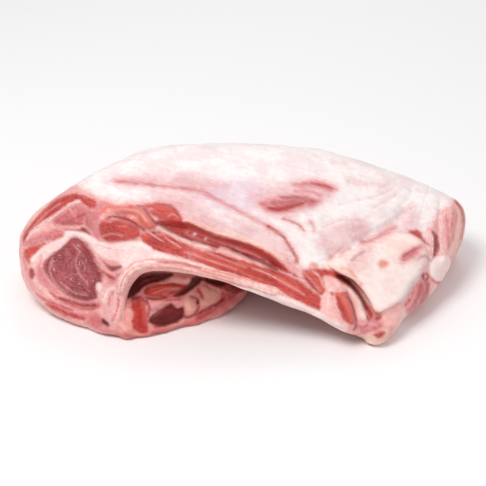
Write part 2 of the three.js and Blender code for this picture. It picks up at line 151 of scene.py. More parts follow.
def line_distance(line: Array, closed: bool, at: Array) -> Array:
    """Distance from each point to a polyline."""
    ends = np.roll(line, -1, 0) if closed else line[1:]
    best = np.full(at.shape[:-1], np.inf)
    for start, end in zip(line, ends):
        edge, away = end - start, at - start
        t = np.clip(away @ edge / max(edge @ edge, 1e-9), 0, 1)
        best = np.minimum(best, ((away - t[..., None] * edge) ** 2).sum(-1))
    return np.sqrt(best)


def signed_distance(line: Array, at: Array) -> Array:
    """Distance from each point to a closed polyline, negative inside."""
    inside = np.zeros(at.shape[:-1], bool)
    for (au, av), (bu, bv) in zip(line, np.roll(line, -1, 0)):
        if av == bv:
            continue
        across = (av > at[..., 1]) != (bv > at[..., 1])
        inside ^= across & (at[..., 0] < au + (at[..., 1] - av) * (bu - au) / (bv - av))
    distance = line_distance(line, True, at)
    return np.where(inside, -distance, distance)


class Turbulence:
    """Seeded value noise over space, between -1 and 1."""

    def __init__(self, seed: int, size: int = 24) -> None:
        """Draw the lattice of values that the noise runs through."""
        self.size = size
        self.lattice = np.random.default_rng(seed).uniform(-1, 1, (size,) * 3)

    def at(self, points: Array, wavelength: float) -> Array:
        """Give the noise at each point.

        Args:
            points: Places, the last axis being x, y, z.
            wavelength: Length of one cell of the lattice.

        Returns:
            One value to a point.
        """
        scaled = points / wavelength
        cell = np.floor(scaled).astype(int)
        t = scaled - cell
        t = t * t * (3 - 2 * t)
        total = np.zeros(points.shape[:-1])
        for corner in itertools.product((0, 1), repeat=3):
            weight = np.prod(np.where(corner, t, 1 - t), -1)
            total += weight * self.lattice[tuple(np.moveaxis((cell + corner) % self.size, -1, 0))]
        return total


# --------------------------------------------------------------------- tissues

class Tissue(Enum):
    """Kinds of tissue, in the order in which their colours are laid on. The near-black kind is not a tissue but
    painted shade; some marks also use the deep red as painted shade and the pale kinds as painted highlights.
    """

    CUT = "cut"
    MILK = "milk"
    ROSE = "rose"
    CREAM = "cream"
    BLUSH = "blush"
    RED = "red"
    DUSKY = "dusky"
    ORANGE = "orange"
    DEEP = "deep"
    WINE = "wine"
    GRAIN = "grain"
    THREAD = "thread"
    PINK = "pink"
    WHITE = "white"
    # painted shade: near-black laid in slits, gaps and hollows where shade falls
    DARK = "dark"


FAR = 8.0  # a distance at which no tissue shows
CREASED = (Tissue.BLUSH, Tissue.RED, Tissue.DUSKY, Tissue.DEEP, Tissue.WINE)
CREASED_FROM = 0.6  # least rise of a muscle that a crease runs round
CREASE_DEPTH = 0.6
CREASE_WIDTH = 1.3  # half width of the crease


@dataclass(frozen=True)
class Mark:
    """Something drawn on a sheet of the joint.

    Attributes:
        name: What it is.
        tissue: The tissue that it paints, or None.
        points: The points that it is drawn through.
        rise: How far it stands up, or lies back where below 0.
    """

    name: str
    tissue: Tissue | None
    points: list[Point2]
    rise: float = 0.0

    def near(self, at: Array, reach: float) -> Array:
        """Say which points lie within reach of the mark's box."""
        p = np.array(self.points)
        return ((at > p.min(0) - reach) & (at < p.max(0) + reach)).all(-1)


@dataclass(frozen=True)
class Blob(Mark):
    """A closed outline, which rises over a shoulder inside its edge.

    Attributes:
        shoulder: How far inside the outline it reaches its full rise.
        start: How far inside the outline the rise begins.
    """

    shoulder: float = 3.0
    start: float = -0.5

    def distance(self, at: Array) -> Array:
        """Distance from the outline, negative inside."""
        return signed_distance(smooth_line(self.points, True), at)

    def lift(self, distance: Array) -> Array:
        """Rise of the surface at a distance from the outline."""
        lift = self.rise * ramp(-distance, self.start, self.shoulder)
        if self.tissue in CREASED and self.rise >= CREASED_FROM:
            lift -= CREASE_DEPTH * np.exp(-((distance / CREASE_WIDTH) ** 2))
        return lift


@dataclass(frozen=True)
class Stroke(Mark):
    """A soft line of the given half width."""

    width: float = 1.0

    def distance(self, at: Array) -> Array:
        """Distance from the line's edge, negative inside."""
        return line_distance(smooth_line(self.points, False), False, at) - self.width

    def lift(self, distance: Array) -> Array:
        """Rise of the surface at a distance from the line's edge."""
        away = (distance + self.width) / max(self.width, 1.4)
        return self.rise * np.exp(-away * away)


@dataclass(frozen=True)
class Plane:
    """A plane of the front, w = at + u * by_u + v * by_v."""

    name: str
    at: float
    by_u: float
    by_v: float

    def height(self, at: Array) -> Array:
        """Height over each point of the sketch."""
        return self.at + self.by_u * at[..., 0] + self.by_v * at[..., 1]


@dataclass
class Sheet:
    """A face of the joint: rounded planes with marks drawn on them.

    Attributes:
        planes: Groups of planes, each with the width of its rounding.
        forms: Marks that the CAD solid has too.
        marks: Finer marks.
    """

    planes: list[tuple[list[Plane], float]]
    forms: list[Mark]
    marks: list[Mark]

    def base(self, at: Array) -> Array:
        """Height of the planes alone."""
        height = None
        for planes, blend in self.planes:
            for plane in planes:
                here = plane.height(at)
                height = here if height is None else round_min(height, here, blend)
        return height

    def height(self, at: Array, skip: Iterable[str] = ()) -> Array:
        """Height of the face.

        Args:
            at: Points of the sketch.
            skip: Names of marks to leave out.

        Returns:
            w over each point.
        """
        height = self.base(at)
        for mark in [*self.forms, *self.marks]:
            if mark.rise and mark.name not in skip:
                near = mark.near(at, FAR + 2 * getattr(mark, "width", 0.0))
                height[near] += mark.lift(mark.distance(at[near]))
        return height

    def raised(self, net: "Net") -> "Net":
        """Move what faces the back along its normals by the marks' rise."""
        normals, board = net.normals(), SKETCH.to_board(net.points)
        facing = ramp(SKETCH.turned(normals)[:, 1], FACING_BACK, FACING_BACK + 0.2)
        shift = np.zeros(len(normals))
        for mark in self.marks:
            near = mark.near(board[:, [0, 2]], FAR) & (facing > 0)
            shift[near] += mark.lift(mark.distance(board[near][:, [0, 2]]))
        return Net(net.points + normals * (shift * facing)[:, None], net.quads)

    def paint(self, at: Array) -> dict[Tissue, Array]:
        """Distance of each point to each kind of tissue, negative inside."""
        distances = {tissue: np.full(at.shape[:-1], FAR) for tissue in Tissue}
        for mark in self.marks:
            if mark.tissue:
                near = mark.near(at, FAR)
                here = mark.distance(at[near])
                distances[mark.tissue][near] = np.minimum(distances[mark.tissue][near], here)
        return distances


# ------------------------------------------------------------- the joint drawn

OUTLINE = [
    (-167, 67.5), (-165.5, 79), (-156, 93), (-137.5, 106.5), (-119.5, 117), (-103, 127),
    (-78, 140.5), (-51.5, 149), (-24, 152.5), (4, 152), (31.5, 152.5), (59.5, 150),
    (87, 141), (115, 132), (142.5, 121.5), (157, 115), (168.5, 108), (172, 95),
    (168, 75), (156, 53.5), (145.5, 41), (135.5, 32), (126, 25.5), (116.5, 20),
    (107.5, 9), (96.5, -2), (88, 0), (72, 7), (-67, -2), (-92.5, 2), (-111, 7.5),
    (-130, 16), (-143.5, 23), (-152.5, 30.5), (-161.5, 41.5), (-166.5, 56),
]

CAP_PLANES = [
    Plane("fat cap, left", 96.5, -0.27, -1.114),
    Plane("fat cap, middle", 79, -0.362, -0.912),
    Plane("fat cap, right", 62, -0.36, -0.561),
]
FACE_PLANES = [
    Plane("left cut face", 26.5, 0.337, -0.036),
    Plane("rib plate", -1, 0.1, 0.2),
    Plane("flap", 30.2, -0.178, -0.367),
    Plane("right end", 112.6, -0.922, -0.264),
]
WALL_PLANES = [
    Plane("left of the wall", -35.4, -0.42, 0),
    Plane("top of the wall", 0.9, 0, -0.35),
]

FRONT_FORMS = [
    Blob("slit under the fat cap", None, [
        (-61, 88), (-50, 88), (-38, 86), (-20, 79), (-3, 74), (13, 67.5), (27, 58),
        (34, 51), (27, 50), (16, 55), (2, 62), (-14, 68), (-30, 72), (-45, 77), (-57, 83),
    ], rise=-9, shoulder=5, start=-1.5),
    Blob("rounded muscle", None, [
        (-117.5, 102), (-103.5, 103), (-90.5, 95.5), (-77.5, 92.5), (-72, 83.5),
        (-77.5, 75), (-90.5, 73), (-104.5, 76.5), (-115, 88),
    ], rise=9, shoulder=12, start=-3),
    Blob("folded muscle", None, [
        (-102, 101), (-81.5, 99.5), (-68.5, 96.5), (-61.5, 83.5), (-68.5, 81),
        (-76, 92.5), (-90.5, 95.5),
    ], rise=6, shoulder=5, start=-2),
    Blob("eye muscle", None, [
        (-123.5, 76.5), (-113.5, 68), (-107.5, 59), (-103, 49.5), (-104.5, 42),
        (-109.5, 31), (-119, 30), (-134, 38.5), (-150, 46), (-150.5, 54.5), (-144.5, 64),
        (-134, 71.5),
    ], rise=2, shoulder=6, start=0),
    Blob("fat flap", None, [
        (58.5, 59.5), (73, 66.5), (92.5, 78), (114, 82), (129, 78.5), (136.5, 67),
        (134, 56), (123, 45), (113.5, 32), (95.5, 23.5), (89.5, 32), (80, 45), (69.5, 50.5),
    ], rise=6, shoulder=7, start=-3),
    Blob("slit under the flap", None, [
        (65, 50), (72, 53), (81, 49), (88, 41), (94, 33), (98, 25), (98, 18),
        (91, 16.5), (85, 25), (82, 33), (77, 39), (70, 43.5),
    ], rise=-9, shoulder=5, start=-1),
    Blob("muscle by the breast bone", None, [
        (58, 42), (68, 46.5), (76.5, 39.5), (82, 25), (80.5, 8), (69, 10), (56.5, 19.5),
    ], rise=4, shoulder=6, start=-2),
    Blob("front foot", None, [
        (81, 22), (96.5, 13.5), (113.5, 22), (109.5, 10.5), (96.5, 0), (82, 5),
    ], rise=3, shoulder=6, start=-2),
    Blob("foot beside the wall", None, [
        (-112, 4), (-108, 18), (-96, 26), (-84, 20), (-80, 2), (-88, -8), (-104, -4),
    ], rise=6, shoulder=12, start=-4),
    Stroke("edge of the arch", None, [
        (-90, 19.5), (-87.5, 33), (-87, 45), (-81, 53.5), (-67, 58), (-45, 57),
        (-23.5, 53), (5, 44), (40.5, 31), (73, 14),
    ], rise=5, width=6),
    Stroke("fold in the fat cap", None, [(122, 96), (112, 88), (96, 80), (80, 71), (64, 66)], rise=-4, width=3.5),
    Stroke("blade strip of the right end", None, [(160, 101), (157, 80), (150, 60)], rise=2.5, width=3),
    Stroke("seam beside the blade strip", None, [(152, 104), (149, 85), (143, 65)], rise=-2.5, width=2.5),
]

FRONT_MARKS = [
    Blob("cut, left", Tissue.CUT, [
        (-177, 66), (-165, 93), (-142, 112), (-123, 116), (-95, 103), (-60, 104), (-45, 100),
        (-39, 92), (5, 75), (30, 64), (43, 54), (57, 56), (72, 52), (85, 39), (96, 24), (112, 19),
        (109, -5), (69, -5), (-2, 30), (-45, 41), (-80, 25), (-85, -6), (-134, 1), (-174, 31),
    ]),
    Blob("cut, right", Tissue.CUT, [
        (139, 84), (166, 108), (182, 95), (179, 66), (160, 39), (110, 12), (109, 24), (123, 39),
        (140, 68),
    ]),
    Blob("pink at the lower left", Tissue.ROSE, [
        (-167, 63), (-160, 44), (-140, 27), (-116, 16), (-95, 6), (-88, 20), (-98, 30), (-104, 21),
        (-141, 33), (-152, 41), (-157, 59),
    ]),
    Blob("outer muscle band", Tissue.RED, [
        (-163, 74), (-160, 83), (-143, 102), (-125, 109), (-109, 105), (-106, 101), (-109, 98),
        (-114, 100), (-120, 104), (-126, 101), (-142, 92), (-149, 88), (-155, 83), (-160, 77),
    ], rise=1.2),
    Stroke("dark streak of the outer band", Tissue.GRAIN, [
        (-157, 82.5), (-138.5, 100), (-129.5, 105), (-120.5, 106.5),
    ], width=0.6, rise=-0.3),
    Stroke("pale streak of the outer band", Tissue.THREAD, [
        (-158.5, 81), (-143.5, 95.5), (-134, 102),
    ], width=0.5, rise=0.3),
    Blob("second muscle", Tissue.BLUSH, [
        (-141, 88.5), (-128, 100.5), (-120.5, 103), (-114, 99.5), (-107.5, 99.5), (-109, 94.5),
        (-115.5, 91), (-118, 86.5),
    ], rise=1),
    Stroke("grain of the second muscle", Tissue.GRAIN, [(-135.5, 89), (-129.5, 94), (-122, 99)], width=0.5),
    Stroke("grain of the second muscle, low", Tissue.GRAIN, [
        (-131, 87.5), (-123.5, 90.5), (-115.5, 94),
    ], width=0.5),
    Stroke("light in the second muscle", Tissue.THREAD, [
        (-126.5, 97.5), (-125, 95), (-122, 92.5),
    ], width=0.5, rise=0.3),
    Stroke("streak below the second muscle", Tissue.GRAIN, [
        (-138.5, 87), (-128, 87), (-117, 86.5),
    ], width=0.7),
    Blob("deep stripe", Tissue.DEEP, [
        (-130, 83), (-122.5, 82.5), (-115.5, 84), (-110.5, 78.5), (-118.5, 81), (-128, 81.5),
    ], rise=-0.5, shoulder=2),
    Blob("third muscle", Tissue.BLUSH, [
        (-162, 71.5), (-159.5, 76.5), (-135.5, 83), (-131, 77.5), (-149.5, 73), (-155.5, 70.5),
    ], rise=1),
    Blob("fourth muscle", Tissue.RED, [
        (-162.5, 67.5), (-145.5, 73), (-149.5, 69), (-152.5, 65), (-156.5, 62.5), (-158, 57.5),
    ], rise=0.8, shoulder=2.5),
    Blob("blood spot at the left edge", Tissue.DEEP, [
        (-153.5, 51), (-154.5, 47), (-157, 47), (-158, 51), (-157, 54.5), (-155, 54.5),
    ], rise=-0.4, shoulder=2),
    Blob("face of the eye muscle", Tissue.DUSKY, [
        (-125, 77), (-115, 73), (-102, 48), (-106, 43), (-107, 39), (-106, 33), (-115, 31), (-129, 35),
        (-144, 50), (-145, 59), (-129, 73),
    ], rise=1.4, shoulder=4),
    Blob("red top of the eye muscle", Tissue.GRAIN, [
        (-129, 70.5), (-124, 76.5), (-117, 73.5), (-111, 66.5), (-117, 66.5), (-123, 63.5),
    ]),
    Stroke("swirl of the eye muscle, left", Tissue.GRAIN, [
        (-141.5, 59), (-143.5, 53), (-138, 44.5),
    ], width=0.5),
    Stroke("swirl of the eye muscle, middle", Tissue.GRAIN, [
        (-130.5, 65), (-133.5, 56), (-130.5, 46), (-121.5, 39),
    ], width=0.5),
    Stroke("swirl of the eye muscle, right", Tissue.GRAIN, [
        (-114, 63.5), (-115.5, 56), (-111, 49),
    ], width=0.5),
    Stroke("light swirl of the eye muscle, low", Tissue.THREAD, [
        (-129, 41.5), (-121.5, 36.5), (-112.5, 35),
    ], width=0.4, rise=0.2),
    Stroke("swirl of the eye muscle, outer", Tissue.GRAIN, [
        (-136.5, 62), (-139, 53), (-133.5, 43), (-124.5, 36), (-114, 34),
    ], width=0.6, rise=-0.3),
    Stroke("swirl of the eye muscle, inner", Tissue.GRAIN, [
        (-124.5, 62), (-129, 54.5), (-126, 44.5), (-117, 39), (-109.5, 40.5),
    ], width=0.5, rise=-0.3),
    Stroke("dark edge of the eye muscle", Tissue.GRAIN, [
        (-111, 65), (-106.5, 57.5), (-104, 49), (-107, 42.5), (-107, 34),
    ], width=0.8, rise=-0.3),
    Stroke("light swirl of the eye muscle, left", Tissue.THREAD, [
        (-140.5, 59), (-141, 51.5), (-136.5, 43), (-129, 37),
    ], width=0.4, rise=0.2),
    Stroke("light swirl of the eye muscle, middle", Tissue.THREAD, [
        (-118.5, 66.5), (-121.5, 59), (-118.5, 50.5), (-112.5, 43),
    ], width=0.4, rise=0.2),
    Blob("pale corner of the eye muscle", Tissue.BLUSH, [
        (-151, 57.5), (-144.5, 62), (-143, 53), (-136.5, 43), (-129, 34), (-147.5, 41.5),
        (-152.5, 49.5),
    ]),
    Stroke("red rim of the eye muscle", Tissue.GRAIN, [
        (-120, 74.5), (-114, 70.5), (-105, 55), (-102.5, 48.5),
    ], width=1.6),
    Blob("strip below the eye muscle", Tissue.RED, [
        (-141.5, 37.5), (-132, 34), (-115.5, 31), (-105, 30.5), (-104.5, 26), (-117, 24),
        (-137.5, 32.5),
    ], rise=0.9, shoulder=2),
    Stroke("heart of the strip", Tissue.DEEP, [(-133.5, 32.5), (-117, 28), (-107, 28)], width=1),
    Stroke("salmon streak at the bottom, inner", Tissue.BLUSH, [
        (-149, 34), (-128, 26), (-115, 22), (-105, 16),
    ], width=1.4, rise=0.4),
    Stroke("salmon streak at the bottom, outer", Tissue.RED, [
        (-152.5, 35.5), (-144.5, 30.5), (-124.5, 24),
    ], width=0.7, rise=-0.3),
    Stroke("rim streak at the left", Tissue.BLUSH, [
        (-162.5, 62), (-155.5, 42.5), (-147.5, 35.5),
    ], width=1.3, rise=0.3),
    Stroke("pale streak at the left", Tissue.THREAD, [
        (-157, 44), (-151.5, 37.5), (-143, 32.5),
    ], width=0.8, rise=0.3),
    Blob("tan strip", Tissue.CREAM, [
        (-151, 39), (-131, 30), (-118, 25), (-104, 24), (-104, 19), (-118, 23), (-141, 32), (-150, 36),
    ]),
    Blob("outer strip at the bottom", Tissue.RED, [
        (-145.5, 29), (-137.5, 27.5), (-130, 24), (-117, 20.5), (-115.5, 17), (-127.5, 19),
        (-143, 25.5),
    ], rise=0.6, shoulder=2),
    Blob("bottom of the cut face", Tissue.BLUSH, [
        (-115, 23), (-105, 23), (-98, 13), (-86, 7), (-74, 4), (-92, 5), (-114, 14),
    ]),
    # painted shade: near-black in the hollow by the backbone
    Blob("hollow by the backbone", Tissue.DARK, [
        (-101.5, 18.5), (-98.5, 17), (-96, 15), (-97, 13), (-102, 15.5),
    ], rise=-2.5, shoulder=2),
    Blob("fat nodule", Tissue.WHITE, [
        (-102, 41), (-103, 38.5), (-105.5, 38.5), (-106.5, 41), (-105.5, 44), (-103, 44),
    ], rise=1),
    Blob("face of the backbone", Tissue.ROSE, [
        (-100, 43), (-90, 43), (-90, 25), (-96, 19), (-101, 23),
    ], rise=0.6),
    Stroke("arc of the backbone, outer", Tissue.WHITE, [
        (-100.5, 31.5), (-98, 37.5), (-93.5, 41), (-89.5, 39),
    ], width=0.5, rise=0.4),
    Stroke("arc of the backbone, inner", Tissue.RED, [
        (-97, 28), (-96, 34), (-93, 37.5),
    ], width=0.4, rise=-0.4),
    Stroke("brown line of the backbone", Tissue.RED, [
        (-90.5, 42), (-89, 33.5), (-90.5, 25), (-93.5, 17.5),
    ], width=0.5, rise=-0.5),
    Stroke("blood between backbone and eye muscle", Tissue.RED, [
        (-101.5, 52), (-96.5, 49), (-93, 47),
    ], width=1, rise=-0.3),
    Blob("blood crescent", Tissue.DEEP, [
        (-101, 59.5), (-98, 57), (-93, 56), (-87.5, 57), (-86.5, 55.5), (-95, 52.5),
    ], rise=-0.5, shoulder=1.5),
    Blob("upper lump by the backbone", Tissue.BLUSH, [
        (-91.5, 45.5), (-93, 43.5), (-96, 43.5), (-97.5, 45.5), (-96, 47.5), (-93, 47.5),
    ], rise=0.8),
    Blob("lower lump by the backbone", Tissue.BLUSH, [
        (-87, 49.5), (-88, 48), (-90.5, 48), (-91.5, 49.5), (-90.5, 51), (-88, 51),
    ], rise=0.6, shoulder=2),
    Stroke("seam inside the outer band", Tissue.WHITE, [
        (-159.5, 76), (-154, 82.5), (-141, 91), (-127, 101), (-119.5, 103.5),
    ], width=0.7, rise=0.3),
    Blob("white fascia", Tissue.WHITE, [
        (-129, 82), (-119, 81), (-111, 78), (-105, 74), (-107, 71), (-119, 77), (-125, 78), (-134, 69),
        (-140, 66), (-148, 58), (-148, 56), (-148, 65), (-155, 59), (-155, 62), (-145, 71), (-132, 77),
    ], rise=0.4, shoulder=1.5),
    Stroke("fleck in the eye muscle, left", Tissue.THREAD, [
        (-139, 62), (-139.5, 57.5), (-137.5, 53),
    ], width=0.35),
    Stroke("fleck in the eye muscle, low", Tissue.THREAD, [
        (-133, 44.5), (-129.5, 41), (-127.5, 38),
    ], width=0.35),
    Stroke("fleck in the eye muscle, right", Tissue.THREAD, [
        (-116, 59), (-114.5, 56), (-114.5, 53.5),
    ], width=0.35),
    Blob("left side of the rounded muscle", Tissue.BLUSH, [
        (-115.5, 89), (-108.5, 98), (-103.5, 103.5), (-96, 102), (-90, 98), (-100, 94), (-103.5, 86.5),
        (-101.5, 79.5), (-94.5, 74), (-106.5, 76),
    ]),
    Blob("red side of the rounded muscle", Tissue.RED, [
        (-104, 82.5), (-102.5, 88), (-98.5, 91), (-91, 90), (-85.5, 91.5), (-79.5, 89.5),
        (-73.5, 83.5), (-76, 76), (-94.5, 74), (-101, 76),
    ]),
    Stroke("pale fibre of the rounded muscle", Tissue.THREAD, [
        (-101, 78), (-94, 79.5), (-86.5, 78),
    ], width=0.7, rise=0.2),
    Stroke("dark fibre of the rounded muscle", Tissue.GRAIN, [
        (-101.5, 85), (-94, 87), (-85, 86.5), (-76.5, 83),
    ], width=1.2, rise=-0.2),
    Blob("face of the folded muscle", Tissue.ORANGE, [
        (-100, 99), (-75, 99), (-62, 85), (-71, 83), (-77, 88), (-90, 93), (-102, 92),
    ], rise=1, shoulder=2.5),
    Blob("red end of the folded muscle", Tissue.RED, [
        (-82.5, 99), (-75.5, 99.5), (-70, 96), (-62, 85.5), (-65.5, 82.5), (-71, 83.5), (-76, 88.5),
        (-73.5, 93),
    ]),
    # painted highlights: pale lines where light catches the folded muscle
    Stroke("highlight of the folded muscle, upper", Tissue.THREAD, [
        (-97.5, 96.5), (-79.5, 96), (-73.5, 93.5), (-69, 88.5),
    ], width=1.1, rise=0.5),
    Stroke("highlight of the folded muscle, lower", Tissue.THREAD, [
        (-78.5, 96.5), (-74.5, 94),
    ], width=0.5, rise=0.3),
    Stroke("sheen of the folded muscle", Tissue.THREAD, [
        (-100.5, 93.5), (-96.5, 93.5), (-92, 94.5),
    ], width=0.8),
    Blob("upper right muscle", Tissue.RED, [
        (-73, 100), (-52, 100.5), (-42, 87), (-49.5, 87), (-62, 91),
    ], rise=0.9, shoulder=4),
    Stroke("streak of the upper right muscle", Tissue.ORANGE, [
        (-65.5, 98.5), (-58, 98), (-51, 94.5),
    ], width=0.9, rise=0.3),
    Stroke("light of the upper right muscle", Tissue.THREAD, [
        (-53.5, 92), (-50, 93.5), (-46.5, 91),
    ], width=0.5, rise=0.3),
    # painted shade: deep red in the creases round the rounded and folded muscles
    Stroke("crease above the rounded muscle", Tissue.DEEP, [
        (-97, 91), (-91.5, 92), (-79.5, 88.5), (-71, 82),
    ], width=0.9, rise=-1),
    Stroke("crease behind the folded muscle", Tissue.DEEP, [
        (-76, 100), (-71, 97.5), (-61.5, 86),
    ], width=0.5, rise=-0.5),
    Blob("inside of the slit", Tissue.RED, [
        (-63, 89), (-39, 88), (-20, 79), (14, 69), (31, 55), (39, 49), (21, 56), (7, 61), (-4, 68),
        (-18, 69), (-31, 74), (-42, 77),
    ]),
    Blob("white speck in the slit", Tissue.WHITE, [
        (-33.5, 79), (-35.5, 78.5), (-36, 79), (-35, 80), (-34, 80),
    ], rise=0.6, shoulder=1),
    Blob("second white speck in the slit", Tissue.PINK, [
        (-26.5, 75), (-27, 75), (-27.5, 76), (-27, 77), (-26, 77),
    ], rise=0.4, shoulder=1),
    Stroke("peach lip over the slit", Tissue.CREAM, [
        (-41, 89), (-20, 81), (5, 74), (28, 62),
    ], width=1.6, rise=0.6),
    Stroke("pink under the lip", Tissue.ROSE, [(-38, 92), (-27, 88), (5, 78)], width=2.5),
    # painted shade: near-black along the bottom of the slit, where shade falls
    Stroke("bottom of the slit", Tissue.DARK, [(-61, 87), (-44, 78), (-18, 70)], width=0.6, rise=-0.8),
    Stroke("bottom of the slit, right", Tissue.DARK, [
        (-8, 68.5), (13.5, 59), (24, 54),
    ], width=0.6, rise=-0.6),
    Blob("rib plate", Tissue.RED, [
        (-73, 81), (-56, 80), (-45, 74), (-31, 69), (-17, 66), (-2, 61), (34, 49), (46, 41), (57, 33),
        (54, 25), (40, 31), (23, 40), (5, 47), (-27, 57), (-45, 63), (-61, 67), (-72, 74),
    ], rise=0.6),
    Stroke("lip of the slit, left", Tissue.PINK, [
        (-60.5, 83.5), (-56, 82.5), (-45.5, 76.5),
    ], width=1.3, rise=1),
    Blob("lump of the lip", Tissue.PINK, [
        (-34.5, 74.5), (-23, 70.5), (-24.5, 68), (-28.5, 68), (-32.5, 70.5),
    ], rise=1.4, shoulder=1.5),
    Stroke("nick in the lip", Tissue.RED, [(-38.5, 76.5), (-36, 73.5), (-32.5, 73)], width=0.5, rise=-0.8),
    Stroke("second nick in the lip", Tissue.RED, [
        (-22.5, 70), (-20, 68), (-17.5, 68.5),
    ], width=0.6, rise=-0.8),
    Stroke("third nick in the lip", Tissue.RED, [
        (-7, 66.5), (-4.5, 63.5), (-0.5, 63.5),
    ], width=0.6, rise=-0.7),
    Blob("second lump of the lip", Tissue.PINK, [
        (-18, 69), (-12.5, 69.5), (0, 63.5), (-2, 61.5), (-15, 65.5),
    ], rise=1.3, shoulder=1.5),
    Blob("third lump of the lip", Tissue.PINK, [
        (6.5, 61.5), (12.5, 60), (19.5, 56.5), (18, 55), (11, 57),
    ], rise=1, shoulder=1.5),
    Stroke("thin lip between the lumps", Tissue.PINK, [
        (-45.5, 76.5), (-39.5, 74.5), (-34, 73),
    ], width=0.5, rise=0.6),
    Stroke("streak of the rib plate, left", Tissue.THREAD, [
        (-68.5, 81.5), (-60.5, 76), (-57, 74),
    ], width=0.6, rise=0.3),
    Stroke("second streak of the rib plate, left", Tissue.THREAD, [
        (-55.5, 76.5), (-50.5, 73.5), (-44, 69.5),
    ], width=0.4, rise=0.3),
    Stroke("dark grain of the rib plate", Tissue.GRAIN, [
        (-67, 75), (-53, 69), (-38, 64), (-21, 57),
    ], width=0.7, rise=-0.3),
    Stroke("dark grain of the rib plate, upper", Tissue.GRAIN, [
        (-51, 76), (-39, 71), (-8, 60), (8, 53),
    ], width=0.7, rise=-0.3),
    Stroke("dark grain of the rib plate, right", Tissue.GRAIN, [
        (-2, 55), (28, 42), (43, 33),
    ], width=0.9, rise=-0.3),
    Stroke("orange grain of the rib plate", Tissue.ORANGE, [
        (-28, 59), (-13, 58), (2, 52), (19, 44),
    ], width=1, rise=0.3),
    Stroke("orange grain of the rib plate, right", Tissue.ORANGE, [
        (-4, 59), (14, 53), (30, 46), (40, 40),
    ], width=0.9, rise=0.3),
    Stroke("streak of the rib plate, upper", Tissue.THREAD, [
        (-38, 71), (-26.5, 66.5), (2, 55.5),
    ], width=0.6, rise=0.3),
    Stroke("streak of the rib plate, lower", Tissue.THREAD, [
        (-42, 66.5), (-30.5, 63), (-5, 54),
    ], width=0.5, rise=0.3),
    Stroke("streak of the rib plate, right", Tissue.THREAD, [
        (6.5, 55), (19.5, 50), (43.5, 36.5),
    ], width=0.6, rise=0.3),
    Blob("fat over the backbone", Tissue.WHITE, [
        (-113, 75), (-105, 74), (-92, 72), (-81, 74), (-72, 73), (-65, 68), (-81, 59), (-85, 54),
        (-87, 59), (-101, 62),
    ], rise=0.3),
    Blob("band above the rib", Tissue.WHITE, [
        (-95, 71), (-81, 74), (-72, 73), (-65, 68), (-30, 58), (-23, 55), (-53, 62), (-76, 60),
        (-85, 55), (-90, 62),
    ], rise=0.5),
    Stroke("thread over the fascia", Tissue.BLUSH, [
        (-106, 72), (-93, 68.5), (-82.5, 67),
    ], width=0.5, rise=0.3),
    Stroke("lining at the arch edge", Tissue.PINK, [
        (-85, 29), (-86, 38), (-80, 51), (-62, 53), (-29, 49), (-2, 43),
    ], width=2.6),
    Stroke("lining at the arch edge, right", Tissue.WHITE, [(-11, 45), (40, 28), (71, 12)], width=2.6),
    Blob("cut face below the rib plate", Tissue.PINK, [
        (56, 34.5), (64.5, 35.5), (69.5, 18.5), (75.5, 11), (70, 10.5), (56, 24),
    ]),
    Blob("orange corner", Tissue.RED, [
        (65, 35.5), (64, 33), (61.5, 33), (60.5, 35.5), (61.5, 38), (64, 38),
    ]),
    Blob("face of the muscle by the breast bone", Tissue.RED, [
        (66, 38), (74, 39), (80, 22), (77, 15), (69, 21.5), (64.5, 32.5),
    ], rise=1.4),
    # painted highlight: a lighter orange streak where light catches that muscle
    Stroke("highlight of that muscle", Tissue.ORANGE, [(69, 37.5), (75, 24), (77, 18.5)], width=1.4, rise=0.4),
    Stroke("dark of that muscle", Tissue.GRAIN, [(66.5, 33), (70, 25.5), (74, 18.5)], width=0.7, rise=-0.2),
    Stroke("seam behind that muscle", Tissue.DEEP, [
        (74, 34.5), (77.5, 29), (80.5, 17), (78.5, 11.5),
    ], width=0.5, rise=-0.6),
    Blob("cream rind", Tissue.CREAM, [
        (74.5, 41.5), (84.5, 32), (85.5, 25.5), (89, 17.5), (84.5, 17),
    ], rise=1.6, shoulder=2.5),
    Stroke("light edge of the rind", Tissue.WHITE, [
        (76, 40.5), (83.5, 31), (86.5, 20),
    ], width=0.7, rise=0.4),
    Blob("fibres at the end of the rib plate", Tissue.RED, [
        (42, 53), (49.5, 53.5), (56.5, 50), (59, 42.5), (56, 36), (47.5, 42.5),
    ], rise=0.6),
    Stroke("light fibre of the plate end, left", Tissue.THREAD, [
        (43.5, 51.5), (49, 46), (55, 38.5),
    ], width=0.7, rise=0.3),
    Stroke("light fibre of the plate end, right", Tissue.PINK, [
        (50, 53), (54.5, 48.5), (57.5, 42),
    ], width=0.7, rise=0.4),
    Stroke("orange fibre of the plate end", Tissue.ORANGE, [
        (47, 52), (52, 47), (57, 39.5),
    ], width=0.8, rise=0.3),
    Stroke("dark fibre of the plate end", Tissue.GRAIN, [
        (45, 49.5), (50.5, 43), (56, 36.5),
    ], width=0.7, rise=-0.3),
    Blob("membrane above the breast bone", Tissue.PINK, [
        (56.5, 48.5), (64, 49), (71.5, 43.5), (73.5, 38.5), (60.5, 39.5),
    ], rise=0.5),
    Blob("lip of the flap, red", Tissue.RED, [(46.5, 55), (65, 53), (71, 49), (65.5, 47), (55, 48.5)]),
    Blob("slit under the flap", Tissue.RED, [
        (66, 50), (73, 49.5), (83, 38.5), (88, 31), (92, 26), (93.5, 21), (90, 19), (84.5, 33),
        (75, 42.5), (70, 44.5),
    ]),
    # painted shade: near-black in the deepest part of the slit under the flap
    Stroke("deepest part of the slit under the flap", Tissue.DARK, [
        (68, 48.5), (73, 46.5), (82.5, 37), (88.5, 26),
    ], width=0.8, rise=-0.6),
    Blob("end of the breast, pink", Tissue.BLUSH, [
